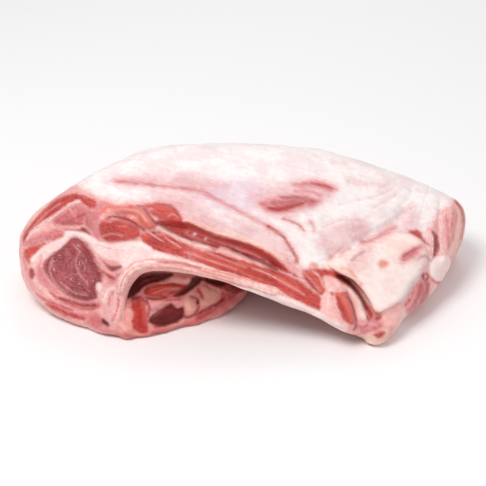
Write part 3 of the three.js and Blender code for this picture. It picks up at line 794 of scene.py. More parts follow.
        (81.5, 17.5), (95.5, 17.5), (98.5, 13), (87, 8.5), (83, 11.5),
    ], rise=0.6),
    Stroke("light in the end of the breast", Tissue.THREAD, [
        (83, 15), (89, 16), (94.5, 14.5),
    ], width=0.8, rise=0.3),
    Stroke("light below it", Tissue.CREAM, [(91.5, 11.5), (96, 12.5), (100, 12)], width=0.8, rise=0.3),
    Blob("end of the breast, fat", Tissue.PINK, [
        (100.5, 26.5), (109.5, 30.5), (116.5, 28.5), (115.5, 20.5), (109, 14), (103, 13), (99, 17.5),
    ], rise=0.8),
    Stroke("streak in the end of the breast", Tissue.BLUSH, [
        (111, 22.5), (110, 18.5), (108, 15.5),
    ], width=0.6, rise=-0.4),
    # painted shadow: a red line under the flap's lower edge, where its shadow falls
    Stroke("shadow below the flap", Tissue.RED, [
        (95.5, 18.5), (113, 25.5), (120.5, 31.5),
    ], width=1, rise=-0.4),
    Blob("rim of the breast bone", Tissue.CREAM, [
        (87, 7), (91.5, 10.5), (103, 12), (103, 7.5), (98.5, 3.5), (93, 3.5),
    ], rise=0.5),
    Blob("marrow of the breast bone", Tissue.RED, [
        (91.5, 8), (98.5, 10), (100.5, 9.5), (99, 7), (96.5, 5.5),
    ], rise=-0.4, shoulder=2),
    Stroke("fold by the breast bone", Tissue.BLUSH, [
        (81.5, 13.5), (90, 10.5), (96, 12),
    ], width=0.7, rise=-0.8),
    Stroke("crack in the breast end", Tissue.DEEP, [
        (88.5, 20.5), (89.5, 17), (87, 14),
    ], width=0.5, rise=-0.8),
    Stroke("second crack in the breast end", Tissue.BLUSH, [
        (94, 19), (96, 16.5), (100.5, 15.5),
    ], width=0.6, rise=-0.7),
    Blob("tan skin of the breast end", Tissue.CREAM, [
        (84.5, 7), (91.5, 5.5), (100, 5.5), (100, 1), (91.5, 0.5), (86, 2.5),
    ]),
    Blob("muscle of the shank end", Tissue.BLUSH, [
        (118, 24), (121.5, 37.5), (129.5, 44.5), (133.5, 50), (137.5, 43), (136, 33.5), (125, 23.5),
    ], rise=0.6),
    Stroke("grain of the shank end, right", Tissue.GRAIN, [
        (134.5, 46.5), (135, 38.5), (130.5, 30.5),
    ], width=1.6, rise=-0.2),
    Stroke("grain of the shank end, middle", Tissue.GRAIN, [
        (130, 43), (128, 34.5), (123, 27.5),
    ], width=0.7, rise=-0.3),
    Stroke("pale fibre of the shank end", Tissue.THREAD, [
        (126.5, 41), (124, 34), (120.5, 27.5),
    ], width=0.6, rise=0.3),
    Stroke("red edge of the shank end", Tissue.RED, [
        (136.5, 43), (135.5, 33.5), (130, 28.5),
    ], width=0.7, rise=-0.2),
    Blob("vein", Tissue.DEEP, [
        (137, 48), (135.5, 46), (132.5, 46), (131, 48.5), (132.5, 50.5), (135.5, 50.5),
    ], rise=0.6, shoulder=2),
    Blob("core of the vein", Tissue.PINK, [
        (135.5, 48.5), (134.5, 47), (133, 47), (133.5, 49.5), (135, 49.5),
    ], rise=-0.4, shoulder=1.5),
    Stroke("line beside the fat knob", Tissue.RED, [
        (136, 49.5), (142.5, 44), (147, 43.5),
    ], width=0.8, rise=-0.6),
    Blob("fat knob", Tissue.WHITE, [
        (138.5, 59), (151.5, 64), (157, 58.5), (155, 51), (149.5, 44.5), (142.5, 45.5), (138.5, 50),
    ], rise=1.6, shoulder=4),
    Blob("first muscle of the end", Tissue.ROSE, [
        (151, 93), (165, 101), (161, 89), (156, 71), (151, 71), (152, 85),
    ], rise=0.8, shoulder=2),
    Stroke("dusky streak of the end, left", Tissue.GRAIN, [
        (155, 94.5), (154.5, 78), (154, 71.5),
    ], width=0.5, rise=0.2),
    Stroke("dusky streak of the end, right", Tissue.GRAIN, [
        (161, 97.5), (159, 89), (157, 81),
    ], width=0.5, rise=0.2),
    Stroke("peach band of the end", Tissue.CREAM, [
        (166, 99), (165.5, 90.5), (159.5, 72), (156.5, 64.5),
    ], width=1.3, rise=0.4),
    Stroke("orange line of the end", Tissue.ORANGE, [(163.5, 93.5), (161.5, 84.5), (158.5, 75)], width=0.5),
    Stroke("brown edge of the end", Tissue.RED, [
        (165.5, 104.5), (169.5, 97.5), (170, 87.5), (167, 76.5),
    ], width=1.3, rise=-0.2),
    Blob("second muscle of the end", Tissue.DUSKY, [
        (141.5, 81), (144, 82), (147, 76.5), (146.5, 67), (142, 62.5), (143, 75),
    ], rise=0.4, shoulder=1.5),
    Stroke("seam beside the second muscle", Tissue.WHITE, [
        (140.5, 81), (142, 76.5), (140.5, 64), (137.5, 59),
    ], width=0.5, rise=0.5),
    Stroke("seam between the end muscles", Tissue.WHITE, [
        (150.5, 93), (149.5, 75), (149.5, 67),
    ], width=0.9, rise=0.6),
    Stroke("outer stripe of the end", Tissue.BLUSH, [
        (166.5, 75), (163.5, 66), (158.5, 55.5),
    ], width=1, rise=-0.2),
    Blob("blush on the flap", Tissue.ROSE, [(74, 59), (87, 70), (94, 68), (85, 54), (78, 54)]),
    Blob("blot on the flap", Tissue.ROSE, [(86, 59), (80, 57), (78, 59), (80, 61), (84, 61)]),
    Blob("red spot on the flap", Tissue.ORANGE, [
        (105.5, 58), (103, 55.5), (99, 55.5), (97, 58), (99.5, 60.5), (103.5, 60.5),
    ], rise=-0.3, shoulder=2),
    Blob("window on the flap, left", Tissue.BLUSH, [
        (114.5, 61), (119.5, 66.5), (130.5, 71), (132, 69), (118.5, 59),
    ], rise=-0.5, shoulder=2),
    Stroke("dusky streak of the window", Tissue.GRAIN, [
        (117.5, 63.5), (122.5, 66.5), (128, 69),
    ], width=0.9, rise=-0.2),
    Blob("window on the flap, right", Tissue.ROSE, [
        (129, 68), (136, 68), (138, 65), (133, 57), (125, 63),
    ], rise=-0.4, shoulder=2),
    Stroke("dusky streak of the window, right", Tissue.GRAIN, [
        (129.5, 62), (134, 63.5), (136, 62),
    ], width=1.2, rise=-0.2),
    Stroke("lilac streak of the flap", Tissue.GRAIN, [
        (78.5, 60.5), (82.5, 63.5), (87.5, 66.5),
    ], width=1.2, rise=-0.3),
    Stroke("second lilac streak of the flap", Tissue.ROSE, [
        (77, 56), (83, 58), (89, 58),
    ], width=1.6, rise=-0.2),
    Stroke("red line of the flap lip", Tissue.ORANGE, [
        (71, 54.5), (76.5, 53), (84.5, 43.5),
    ], width=0.8, rise=-0.4),
    Stroke("lip at the foot of the flap", Tissue.CREAM, [
        (59.5, 56.5), (69.5, 55), (76.5, 51.5), (82.5, 42), (88, 31), (94, 24.5),
    ], width=1.4),
    Stroke("shadow line above the flap", Tissue.BLUSH, [
        (87.5, 73.5), (94.5, 75), (114.5, 85),
    ], width=0.9, rise=-1.2),
    Blob("red wedge above the flap", Tissue.RED, [
        (124, 81), (130, 83), (133.5, 81), (134.5, 77.5), (139.5, 71.5), (136.5, 72), (132, 76),
    ], rise=-0.4, shoulder=2),
    # painted shade: rosy pink in the crease of the fold above the flap
    Stroke("fold crease", Tissue.ROSE, [(101, 79), (113, 86), (121, 95), (130, 100)], width=2, rise=-1),
    Blob("rosy wash, left", Tissue.ROSE, [
        (-98, 119), (-61, 125), (-32, 123), (-11, 117), (-24, 112), (-90, 115),
    ]),
    Stroke("pink line of the seam", Tissue.BLUSH, [
        (-93, 118), (-46, 113), (-31, 111),
    ], width=0.9, rise=-0.5),
    Stroke("seam over the cap", Tissue.BLUSH, [(-31, 111), (-1, 95), (20, 84)], width=0.8, rise=-0.7),
    Stroke("red end of the seam", Tissue.RED, [(18, 85), (29.5, 77), (38.5, 61.5)], width=0.9, rise=-0.8),
    Blob("red spot at the seam", Tissue.RED, [
        (39.5, 58.5), (37.5, 58.5), (37, 60.5), (38, 63), (39.5, 63),
    ]),
    Blob("red spot by the flap", Tissue.ORANGE, [
        (53.5, 57), (52, 55.5), (49, 55.5), (47.5, 57), (49, 59), (52, 59),
    ]),
    Blob("see-through membrane", Tissue.MILK, [
        (-34, 110), (-23, 116), (-2, 120), (16, 115), (14, 105), (5, 95), (-11, 94), (-27, 101),
    ]),
    Blob("red patch", Tissue.BLUSH, [
        (12, 102), (20, 106), (43, 109), (54, 106), (58, 105), (56, 102), (50, 100), (46, 100),
        (35, 96), (20, 95), (15, 99),
    ]),
    Blob("deep of the red patch", Tissue.RED, [(18.5, 98.5), (27.5, 100), (47, 103.5), (33, 97), (24, 96)]),
    Stroke("fibres of the red patch, low", Tissue.GRAIN, [
        (18.5, 98.5), (27, 97.5), (44, 102),
    ], width=1, rise=-0.2),
    Stroke("fibres of the red patch, middle", Tissue.GRAIN, [
        (21.5, 102.5), (32, 102.5), (42.5, 104.5), (53, 104),
    ], width=1.6, rise=-0.2),
    Stroke("fibres of the red patch, high", Tissue.GRAIN, [
        (29, 106.5), (38, 107), (47, 105.5),
    ], width=1, rise=-0.2),
    Blob("upper streak of the red patch", Tissue.BLUSH, [
        (37, 117.5), (55.5, 120), (70.5, 114.5), (65.5, 112), (58, 114.5), (46, 115),
    ], rise=-0.3),
    Stroke("red end of the upper streak", Tissue.RED, [(52, 118), (61.5, 116.5), (67.5, 114.5)], width=0.9),
    Stroke("streak between", Tissue.BLUSH, [(39.5, 112), (49, 111.5), (58, 109)], width=1),
    Blob("pink fan around the patch", Tissue.ROSE, [
        (4, 106), (14, 114), (51, 120), (72, 116), (59, 100), (24, 93),
    ]),
    Stroke("small cut", Tissue.RED, [(29, 91), (40, 86.5), (45, 81.5)], width=0.5, rise=-1),
    Stroke("line below the small cut", Tissue.BLUSH, [
        (49, 89), (51.5, 85.5), (52, 81.5),
    ], width=0.4, rise=-0.4),
    Stroke("line in the lower cap, left", Tissue.BLUSH, [
        (62.5, 62), (67, 65.5), (71.5, 68),
    ], width=0.6, rise=-0.6),
    Stroke("line in the lower cap, right", Tissue.BLUSH, [
        (70.5, 65), (74, 67), (78, 69),
    ], width=0.6, rise=-0.5),
    Stroke("upper wrinkle", Tissue.ROSE, [(71, 136), (76, 135), (81, 134)], width=0.6, rise=-0.6),
    # painted shade: a rosy line in the wrinkle, where shade falls
    Stroke("middle wrinkle", Tissue.ROSE, [(81, 120), (105, 116), (112, 118)], width=0.7, rise=-0.8),
    Stroke("soft wave of the cap", None, [(69, 111), (104, 106), (141, 112)], width=3, rise=-0.8),
    Blob("wash above the upper muscle", Tissue.ROSE, [
        (-67, 110), (-53, 111), (-34, 107), (-21, 95), (-8, 85), (-15, 81), (-34, 88), (-48, 98),
    ]),
    Blob("wash by the seam", Tissue.ROSE, [(-13, 94), (21, 82), (34, 68), (31, 59), (2, 76)]),
    Blob("shaded fold", Tissue.ROSE, [(117, 89), (122, 96), (130, 100), (134, 95), (130, 87), (122, 83)]),
    Stroke("shade in the slit", Tissue.DEEP, [(-38, 80), (-14, 71), (15, 60)], width=0.8),
    # painted shade: rosy beige where the lower cap turns down by the flap
    Blob("shade of the lower cap", Tissue.ROSE, [
        (55, 77), (64, 85), (79, 90), (93, 87), (88, 77), (60, 66),
    ]),
    Stroke("wrinkle of the cap, long", None, [
        (79, 80), (109, 93), (128, 108), (131, 115),
    ], width=1.2, rise=-1.2),
    Stroke("wrinkle of the cap, upper", Tissue.THREAD, [
        (71, 101), (85, 105), (100, 108), (114, 114),
    ], width=0.4, rise=-1.1),
    Stroke("wrinkle of the cap, short", Tissue.THREAD, [
        (99, 100), (110.5, 105.5), (120, 112),
    ], width=0.4, rise=-1.1),
    Stroke("wrinkle of the cap, low", Tissue.THREAD, [
        (58, 84), (68.5, 88.5), (79.5, 90.5), (90, 89.5),
    ], width=0.4, rise=-1.1),
]

WALL_MARKS = [
    Blob("flat red wall", Tissue.RED, [
        (-80.5, 33), (-72.5, 32.5), (-70, 27.5), (-69, 7.5), (-78.5, 10.5), (-80.5, 16), (-78.5, 22.5),
        (-81.5, 27.5),
    ], rise=0.5, shoulder=2.5),
    Stroke("deep grain of the red wall", Tissue.GRAIN, [(-76, 31.5), (-74.5, 23), (-73.5, 13)], width=1.6),
    Stroke("deep edge of the red wall", Tissue.DEEP, [
        (-79.5, 33), (-74, 33.5), (-70, 29.5),
    ], width=0.8, rise=-0.4),
    Blob("peach spot", Tissue.CREAM, [
        (-80, 23), (-81.5, 23), (-82.5, 24.5), (-81.5, 26), (-80, 26),
    ], rise=1, shoulder=1.5),
    Blob("low peach spot", Tissue.CREAM, [
        (-75.5, 12), (-76, 10.5), (-77, 10.5), (-77, 13.5), (-76, 13.5),
    ], rise=0.8, shoulder=1.5),
    Blob("fat left of the wall", Tissue.PINK, [
        (-100.5, 33), (-85, 34.5), (-80.5, 29), (-82.5, 23), (-79, 10.5), (-85.5, 9), (-100, 16),
    ]),
    Stroke("blood in the fat left of the wall", Tissue.RED, [
        (-88, 28), (-84.5, 23), (-85.5, 17.5),
    ], width=0.7, rise=-0.4),
    Stroke("pale ridge left of the wall", Tissue.WHITE, [
        (-90, 23), (-88.5, 16), (-84, 11),
    ], width=0.8, rise=0.5),
    Blob("dark muscle", Tissue.WINE, [
        (-68, 18.5), (-53.5, 29), (-48.5, 26), (-43.5, 26.5), (-43, 20.5), (-47.5, 16), (-61.5, 13),
    ], rise=1.6),
    Stroke("shade on the dark muscle", Tissue.GRAIN, [(-62, 21), (-56.5, 24.5), (-49.5, 24)], width=1),
    Blob("lilac fat", Tissue.MILK, [
        (-72, 34), (-59, 32), (-44, 33), (-44, 29), (-54, 30), (-66, 23),
    ], rise=1.8, shoulder=2.5),
    Blob("fat above the dark muscle", Tissue.ROSE, [
        (-72, 34), (-59, 32), (-44, 33), (-44, 29), (-54, 30), (-66, 23),
    ]),
    # painted highlight: a pale line where light catches the lilac fat
    Stroke("highlight on the lilac fat", Tissue.THREAD, [
        (-65, 26.5), (-61.5, 29.5), (-56.5, 31),
    ], width=0.9, rise=0.4),
    Stroke("shade on the lilac fat", Tissue.GRAIN, [(-70, 31.5), (-68, 27.5), (-66.5, 24.5)], width=0.9),
    Blob("brown stripes", Tissue.RED, [
        (-72, 38), (-64.5, 43), (-43, 43), (-39.5, 40), (-43, 35.5), (-50, 33), (-60, 33.5), (-69, 34),
    ], rise=0.8),
    Stroke("deep stripe, upper", Tissue.GRAIN, [
        (-72, 39.5), (-63, 42.5), (-53, 43), (-43, 41.5),
    ], width=0.6, rise=-0.8),
    Stroke("deep stripe, middle", Tissue.GRAIN, [
        (-70.5, 36.5), (-60.5, 39), (-49, 37.5),
    ], width=0.6, rise=-0.5),
    # painted shade: near-black in the crease between the stripes and the lilac fat
    Stroke("deep stripe, low", Tissue.DARK, [
        (-70.5, 33.5), (-63, 32.5), (-56, 33.5),
    ], width=0.4, rise=-0.8),
    # painted highlights: pale lines where light catches the brown stripes
    Stroke("highlight on the stripes", Tissue.THREAD, [
        (-67.5, 40.5), (-62, 43), (-56, 43.5),
    ], width=0.5, rise=0.6),
    Stroke("second highlight on the stripes", Tissue.THREAD, [
        (-64.5, 36.5), (-56, 39.5), (-46, 39.5),
    ], width=0.5, rise=0.6),
    Stroke("deep stripe, right", Tissue.DEEP, [
        (-54.5, 36), (-47.5, 38), (-41.5, 41.5),
    ], width=0.7, rise=-0.5),
    Stroke("orange stripe", Tissue.ORANGE, [(-67.5, 38), (-59, 41), (-49, 41)], width=0.6, rise=0.4),
    # painted shade: near-black under the rib, inside the hollow
    Blob("maroon strip under the rib", Tissue.DARK, [
        (-86, 33), (-85.5, 41.5), (-82, 47.5), (-73.5, 51), (-52, 51.5), (-54.5, 46.5), (-70.5, 41.5),
        (-79, 34),
    ], rise=-1.5),
    Blob("sheen in the hollow", Tissue.DUSKY, [
        (-78, 44), (-73.5, 47), (-66.5, 49), (-60.5, 49), (-63.5, 46.5),
    ], rise=0.8, shoulder=2),
    # painted highlights: small glints in the hollow
    Stroke("glint in the hollow", Tissue.WHITE, [(-65.5, 48.5), (-62, 49)], width=0.5, rise=0.5),
    Stroke("second glint in the hollow", Tissue.PINK, [(-58.5, 48.5), (-54.5, 48)], width=0.5, rise=0.5),
    Stroke("red fold in the hollow", Tissue.RED, [
        (-76, 39), (-70.5, 43), (-63.5, 45.5), (-56, 45),
    ], width=0.8, rise=0.5),
    # painted highlight: a pale line on the lit side of the fold in the hollow
    Stroke("highlight on the fold in the hollow", Tissue.PINK, [
        (-79, 38), (-75, 43), (-69, 46.5),
    ], width=0.5, rise=0.5),
    Blob("orange lump", Tissue.PINK, [
        (-55.5, 49), (-49.5, 50.5), (-36.5, 48), (-38.5, 44.5), (-46, 43.5), (-51.5, 45),
    ], rise=1.6, shoulder=2.5),
    Blob("red of the lump", Tissue.RED, [
        (-47, 45.5), (-48, 44.5), (-51.5, 45.5), (-50.5, 47), (-48, 47),
    ], rise=0.4, shoulder=1.5),
    Stroke("red line of the lump", Tissue.RED, [(-54, 46.5), (-49, 49), (-43, 47)], width=0.5, rise=-0.3),
    Blob("cream patch", Tissue.CREAM, [
        (-45, 48), (-40, 48.5), (-36.5, 46.5), (-38.5, 43.5), (-43, 43.5),
    ], rise=0.6, shoulder=2),
    # painted shade: near-black in the gap
    Blob("dark gap", Tissue.DARK, [
        (-36.5, 48.5), (-30, 48), (-32, 43), (-43.5, 35), (-51, 34.5), (-41, 41.5),
    ], rise=-2.2, shoulder=2),
    Blob("dark red zone", Tissue.DEEP, [
        (-29.5, 47), (0, 41), (-1.5, 36.5), (-8, 35), (-14, 38), (-25.5, 43),
    ], rise=0.3),
    # painted shade: near-black above the dark red zone
    Blob("maroon above the zone", Tissue.DARK, [
        (-29.5, 47), (-21.5, 46.5), (-12.5, 44), (-15.5, 41), (-23, 42.5),
    ], rise=-0.6, shoulder=2),
    Blob("brown right of the fat", Tissue.RED, [
        (-15.5, 37.5), (-8, 35), (-3.5, 36.5), (-11, 29.5), (-31.5, 17), (-34.5, 19.5), (-23, 25),
        (-17.5, 31),
    ], rise=0.3),
    Blob("dull fat", Tissue.CREAM, [(-32, 40), (-27, 42), (-17.5, 36), (-21.5, 28), (-32, 27)], rise=1.8),
    Blob("pink side of the dull fat", Tissue.ROSE, [(-34, 40), (-30, 41), (-29, 34), (-31, 27), (-34, 29)]),
    Stroke("red spots by the dull fat", Tissue.RED, [
        (-33, 38.5), (-31, 35.5), (-29.5, 32),
    ], width=0.9, rise=-0.3),
    Blob("pale knob", Tissue.CREAM, [
        (-42.5, 29), (-39.5, 32.5), (-36, 31), (-34.5, 25.5), (-36, 22), (-40, 21.5),
    ], rise=2),
    # painted shade: deep red in the crevice
    Stroke("shaded crevice", Tissue.DEEP, [
        (-43, 19.5), (-38.5, 19), (-20.5, 27.5), (-14, 32),
    ], width=0.9, rise=-1),
    Stroke("shade beside the knob", Tissue.DEEP, [
        (-33.5, 30.5), (-32.5, 26), (-34.5, 21.5),
    ], width=0.8, rise=-0.8),
    # painted shade: near-black beside the knob
    Stroke("dark beside the knob", Tissue.DARK, [(-38, 34), (-33.5, 32), (-33, 29)], width=0.7, rise=-0.8),
    Stroke("blood under the dark muscle", Tissue.DEEP, [
        (-67, 16), (-61.5, 12.5), (-47.5, 16),
    ], width=0.7, rise=-0.4),
    # painted shade: deep red at the falling edge of the raised lilac fat
    Stroke("dark rim of the lilac fat", Tissue.DEEP, [
        (-69.5, 31.5), (-68, 26), (-68.5, 20),
    ], width=0.7, rise=-0.6),
    Stroke("red between lilac and stripes", Tissue.RED, [
        (-67.5, 32.5), (-57.5, 31.5), (-46, 32),
    ], width=0.6, rise=-0.3),
    Stroke("rim of the wall", Tissue.BLUSH, [
        (-69, 7), (-49, 10), (-39, 14), (-21, 22), (-7, 32), (-2, 39),
    ], width=2.4, rise=0.6),
    Blob("tan bottom", Tissue.CREAM, [
        (-68.5, 14.5), (-63, 12), (-54.5, 12.5), (-40, 19.5), (-34.5, 20), (-37.5, 16), (-56, 9),
        (-67, 8),
    ], rise=0.6, shoulder=2),
    Blob("pink foot", Tissue.BLUSH, [(-84, 9), (-75.5, 7), (-60, 8), (-67, 3), (-83.5, 4.5)]),
    Stroke("pale edge of the foot", Tissue.PINK, [
        (-85.5, 9.5), (-72.5, 6.5), (-67, 7.5),
    ], width=0.7, rise=0.5),
]

BACK_MARKS = [
    Blob("cut of the back", Tissue.CUT, [
        (-156, 0), (-152, 40), (-136, 62), (-104, 70), (-60, 74), (0, 76), (50, 68), (84, 56),
        (120, 58), (156, 50), (160, 0), (60, -6), (-60, -6),
    ]),
    Stroke("fascia over the backbone", Tissue.WHITE, [(-138, 44), (-122, 60), (-100, 64), (-76, 58)], width=1.2, rise=0.4),
    Stroke("grain of the muscle over the backbone", Tissue.GRAIN, [(-129, 38), (-117, 50), (-98, 52)], width=1.0),
    Stroke("thread of the muscle over the backbone", Tissue.THREAD, [(-122, 36), (-106, 46), (-88, 48)], width=0.5),
    Stroke("grain of the long muscle", Tissue.GRAIN, [(-52, 64), (-8, 63), (36, 53), (70, 33)], width=0.8),
    Stroke("thread of the flat muscle", Tissue.THREAD, [(142, 20), (144, 36), (149, 46)], width=0.5),
    Stroke("blood by the backbone", Tissue.DEEP, [(-116, 22), (-113, 30), (-106, 35)], width=0.8, rise=-0.5),
    Stroke("fat between the muscles", Tissue.WHITE, [(88, 4), (84, 26), (96, 46), (118, 51), (134, 40)], width=1.0),
    Blob("muscle over the backbone", Tissue.RED, [
        (-134, 34), (-126, 50), (-108, 59), (-88, 56), (-80, 44), (-92, 38), (-112, 38), (-122, 28),
    ], rise=1.0),
    Blob("muscle outside the backbone", Tissue.DUSKY, [
        (-140, 10), (-139, 26), (-128, 24), (-116, 12), (-120, 4), (-132, 4),
    ], rise=0.8),
    Stroke("cut edge over the hollow", Tissue.RED, [
        (-78, 8), (-73, 30), (-58, 47), (-28, 49), (6, 43), (40, 32), (70, 14),
    ], rise=0.8, width=4),
    Stroke("lining under the cut edge", Tissue.PINK, [
        (-71, 6), (-67, 28), (-54, 41), (-27, 43), (5, 37), (37, 26), (64, 10),
    ], width=1.6),
    Blob("long muscle above the hollow", Tissue.RED, [
        (-70, 58), (-40, 66), (0, 65), (38, 55), (66, 42), (82, 26), (76, 18), (50, 36), (10, 51), (-34, 56),
    ], rise=1.2),
    Stroke("seam in the long muscle", Tissue.WHITE, [(-52, 60), (-20, 61), (16, 57), (50, 45)], width=0.7),
    Blob("round muscle at the shank side", Tissue.DUSKY, [
        (92, 8), (88, 26), (98, 42), (116, 46), (130, 36), (130, 18), (114, 6),
    ], rise=1.4),
    Stroke("seam in the round muscle", Tissue.WHITE, [(96, 14), (108, 26), (122, 34)], width=0.6),
    Blob("flat muscle at the shank side", Tissue.RED, [
        (138, 16), (137, 36), (144, 52), (152, 48), (153, 30), (148, 14),
    ], rise=0.8),
    Blob("blush above the cut", Tissue.ROSE, [
        (-60, 74), (-20, 80), (40, 78), (80, 66), (100, 52), (84, 50), (40, 64), (-10, 72),
    ]),
]

WALL_FORMS = [
    Blob("shoulder against the backbone", None, [
        (-98, 6), (-98, 24), (-92, 34), (-84, 32), (-79, 18), (-82, 5),
    ], rise=3.5, shoulder=8, start=-5),
]

FLAP = "fat flap"
FRONT = Sheet([(CAP_PLANES, 24.0), (FACE_PLANES, 9.0)], FRONT_FORMS, FRONT_MARKS)
WALL = Sheet([(WALL_PLANES, 8.0)], WALL_FORMS, WALL_MARKS)
BACK = Sheet([], [], BACK_MARKS)


# -------------------------------------------------------------- signed fields

@dataclass(frozen=True)
class Grid:
    """A box of cells over the sketch.

    Attributes:
        low: Lowest corner, u, v, w.
        high: Highest corner.
        cell: Sides of a cell.
    """

    low: Point3
    high: Point3
    cell: Point3

    def axes(self) -> list[Array]:
        """Places of the grid's planes along u, v and w."""
        return [np.arange(a, b + c, c) for a, b, c in zip(self.low, self.high, self.cell)]

    def columns(self) -> Array:
        """u and v of each column of the grid."""
        return np.stack(np.meshgrid(*self.axes()[:2], indexing="ij"), -1)

    def places(self) -> Array:
        """u, v and w of each corner of the grid."""
        return np.stack(np.meshgrid(*self.axes(), indexing="ij"), -1)


@dataclass(frozen=True)
class Hollow:
    """The chest hollow under the arch, open to the front and the back.

    Attributes:
        roof: Its roof seen from the front, x against z at the front edge.
        front: y where the roof is as drawn.
        back: y where it is narrowest.
        narrowing: Share of its width that it loses towards the back.
        lowering: Share of its height that it loses.
        sink: Height that it loses as well.
        drift: How far it moves to the right.
        rib_spacing: Distance between the ribs that show through its roof.
        rib_first: y of the first rib.
        rib_rise: How far a rib stands out of the roof.
    """

    roof: tuple[Point2, ...] = (
        (-112, -40), (-90, -16), (-86, 14), (-81.5, 35), (-65, 47.5), (-25, 47), (5, 39),
        (41, 27), (74, 9), (92, -14), (110, -40),
    )
    front: float = -80.0
    back: float = 95.0
    narrowing: float = 0.18
    lowering: float = 0.2
    sink: float = 2.0
    drift: float = 6.0
    rib_spacing: float = 27.0
    rib_first: float = -58.0
    rib_rise: float = 2.6

    def wave(self, y: Array) -> Array:
        """Swell of the ribs along y, 1 on a rib and -1 between two."""
        return np.cos(2 * math.pi * (y - self.rib_first) / self.rib_spacing)

    def above(self, board: Array) -> Array:
        """Height of each place on the board above the hollow's roof."""
        x, y, z = np.moveaxis(board, -1, 0)
        t = np.clip((y - self.front) / (self.back - self.front), 0, 1)
        across = (x - self.drift * t) / (1 - self.narrowing * t)
        line = smooth_line(self.roof, False)
        roof = np.interp(across, line[:, 0], line[:, 1])
        slope = np.interp(across + 1, line[:, 0], line[:, 1]) - roof
        rib = self.rib_rise * ramp(self.wave(y), -0.2, 1) * ramp(roof, 4, 20)
        height = roof * (1 - self.lowering * t) - self.sink * t - rib
        return (z - height) / np.hypot(1, slope)


@dataclass
class Joint:
    """The whole joint as a signed field, negative inside.

    Attributes:
        back_planes: Outward direction and distance of each plane of the back.
        hollow: The chest hollow.
        rim_round: Rounding between front and outline.
        back_round: Rounding between the planes of the back.
        hollow_round: Rounding of the hollow's edge.
        foot_round: Rounding where the meat settles on the board.
        outline_growth: Makes up for what the rounding takes.
        undercut: How far below the board the field's level foot lies.
    """

    back_planes: tuple[tuple[Point3, float], ...] = (
        ((0, 0.93, 0.36), 111), ((-0.62, 0.74, 0.26), 140), ((0.55, 0.79, 0.26), 155),
        ((0, 0.55, 0.83), 122), ((0.42, 0.55, 0.72), 148),
    )
    hollow: Hollow = field(default_factory=Hollow)
    rim_round: float = 14.0
    back_round: float = 32.0
    hollow_round: float = 5.0
    foot_round: float = 6.0
    outline_growth: float = 1.5
    undercut: float = 0.2

    def value(self, grid: Grid, above: Sequence["Patch"] = (), patch: "Patch | None" = None) -> Array:
        """Evaluate the field over a grid.

        Args:
            grid: The cells to fill.
            above: Patches that lie over this surface, which sinks a little under them.
            patch: The patch to cut out, or None for the whole joint.

        Returns:
            One value to each corner of the grid.
        """
        us, vs, ws = grid.axes()
        at = grid.columns()
        outline = signed_distance(smooth_line(OUTLINE, True), at) - self.outline_growth
        height, slope = FRONT.height(at, (FLAP,)), self.steepness(grid)
        sink = sum((other.sink(at) for other in above), np.zeros(at.shape[:-1]))
        region = patch.region(at) if patch else None
        rows = []
        for i, u in enumerate(us):
            board = SKETCH.to_board(np.stack(np.meshgrid([u], vs, ws, indexing="ij"), -1)[0])
            front = (ws[None, :] - height[i][:, None]) / slope[i][:, None]
            solid = round_max(np.broadcast_to(outline[i][:, None], front.shape), front, self.rim_round)
            solid = solid + sink[i][:, None] * ramp(front, *SINK_DEPTHS)
            for out, far in self.back_planes:
                direction = np.array(out) / np.linalg.norm(out)
                solid = round_max(solid, board @ direction - far, self.back_round)
            solid = round_max(solid, -self.hollow.above(board), self.hollow_round)
            solid = round_max(solid, -board[..., 2] - self.undercut, self.foot_round)
            rows.append(patch.cut(solid, front, region[i][:, None]) if patch else solid)
        return np.array(rows)

    @staticmethod
    def steepness(grid: Grid) -> Array:
        """How much steeper than the sketch plane the front is over a grid's columns."""
        us, vs, _ = grid.axes()
        return np.hypot(1, np.hypot(*np.gradient(FRONT.base(grid.columns()), us, vs)))


SINK_DEPTHS = (-12.0, -6.0)  # depths behind the front over which the set-back under a slab fades
TUCK_DEPTHS = (11.0, 15.0)  # depths over which a slab's side dips into the joint


@dataclass(frozen=True)
class Patch:
    """A finely meshed stretch of the front, a closed slab let into the joint.

    Attributes:
        name: Name of the piece.
        outline: Its outline on the sketch.
        grid: The cells that hold it.
        depth: How thick the slab is.
        sunk: How far the surface under it lies back.
        tuck: How far its edge dips, so that it runs into what is round it.
    """

    name: str
    outline: tuple[Point2, ...]
    grid: Grid
    depth: float = 16.0
    sunk: float = 3.4
    tuck: float = 0.4

    def region(self, at: Array) -> Array:
        """Distance from the slab's outline, negative inside."""
        return signed_distance(smooth_line(self.outline, True), at)

    def sink(self, at: Array) -> Array:
        """How far what lies under the slab is set back."""
        return self.sunk * ramp(-self.region(at), 1.0, 6.0)

    def cut(self, solid: Array, front: Array, region: Array) -> Array:
        """Cut the slab out of the joint's field."""
        dip = 1 - ramp(-region, 0, 3.5) + ramp(-front, *TUCK_DEPTHS)
        slab = np.maximum(solid + self.tuck * dip, region)
        return np.maximum(slab, -front - self.depth)


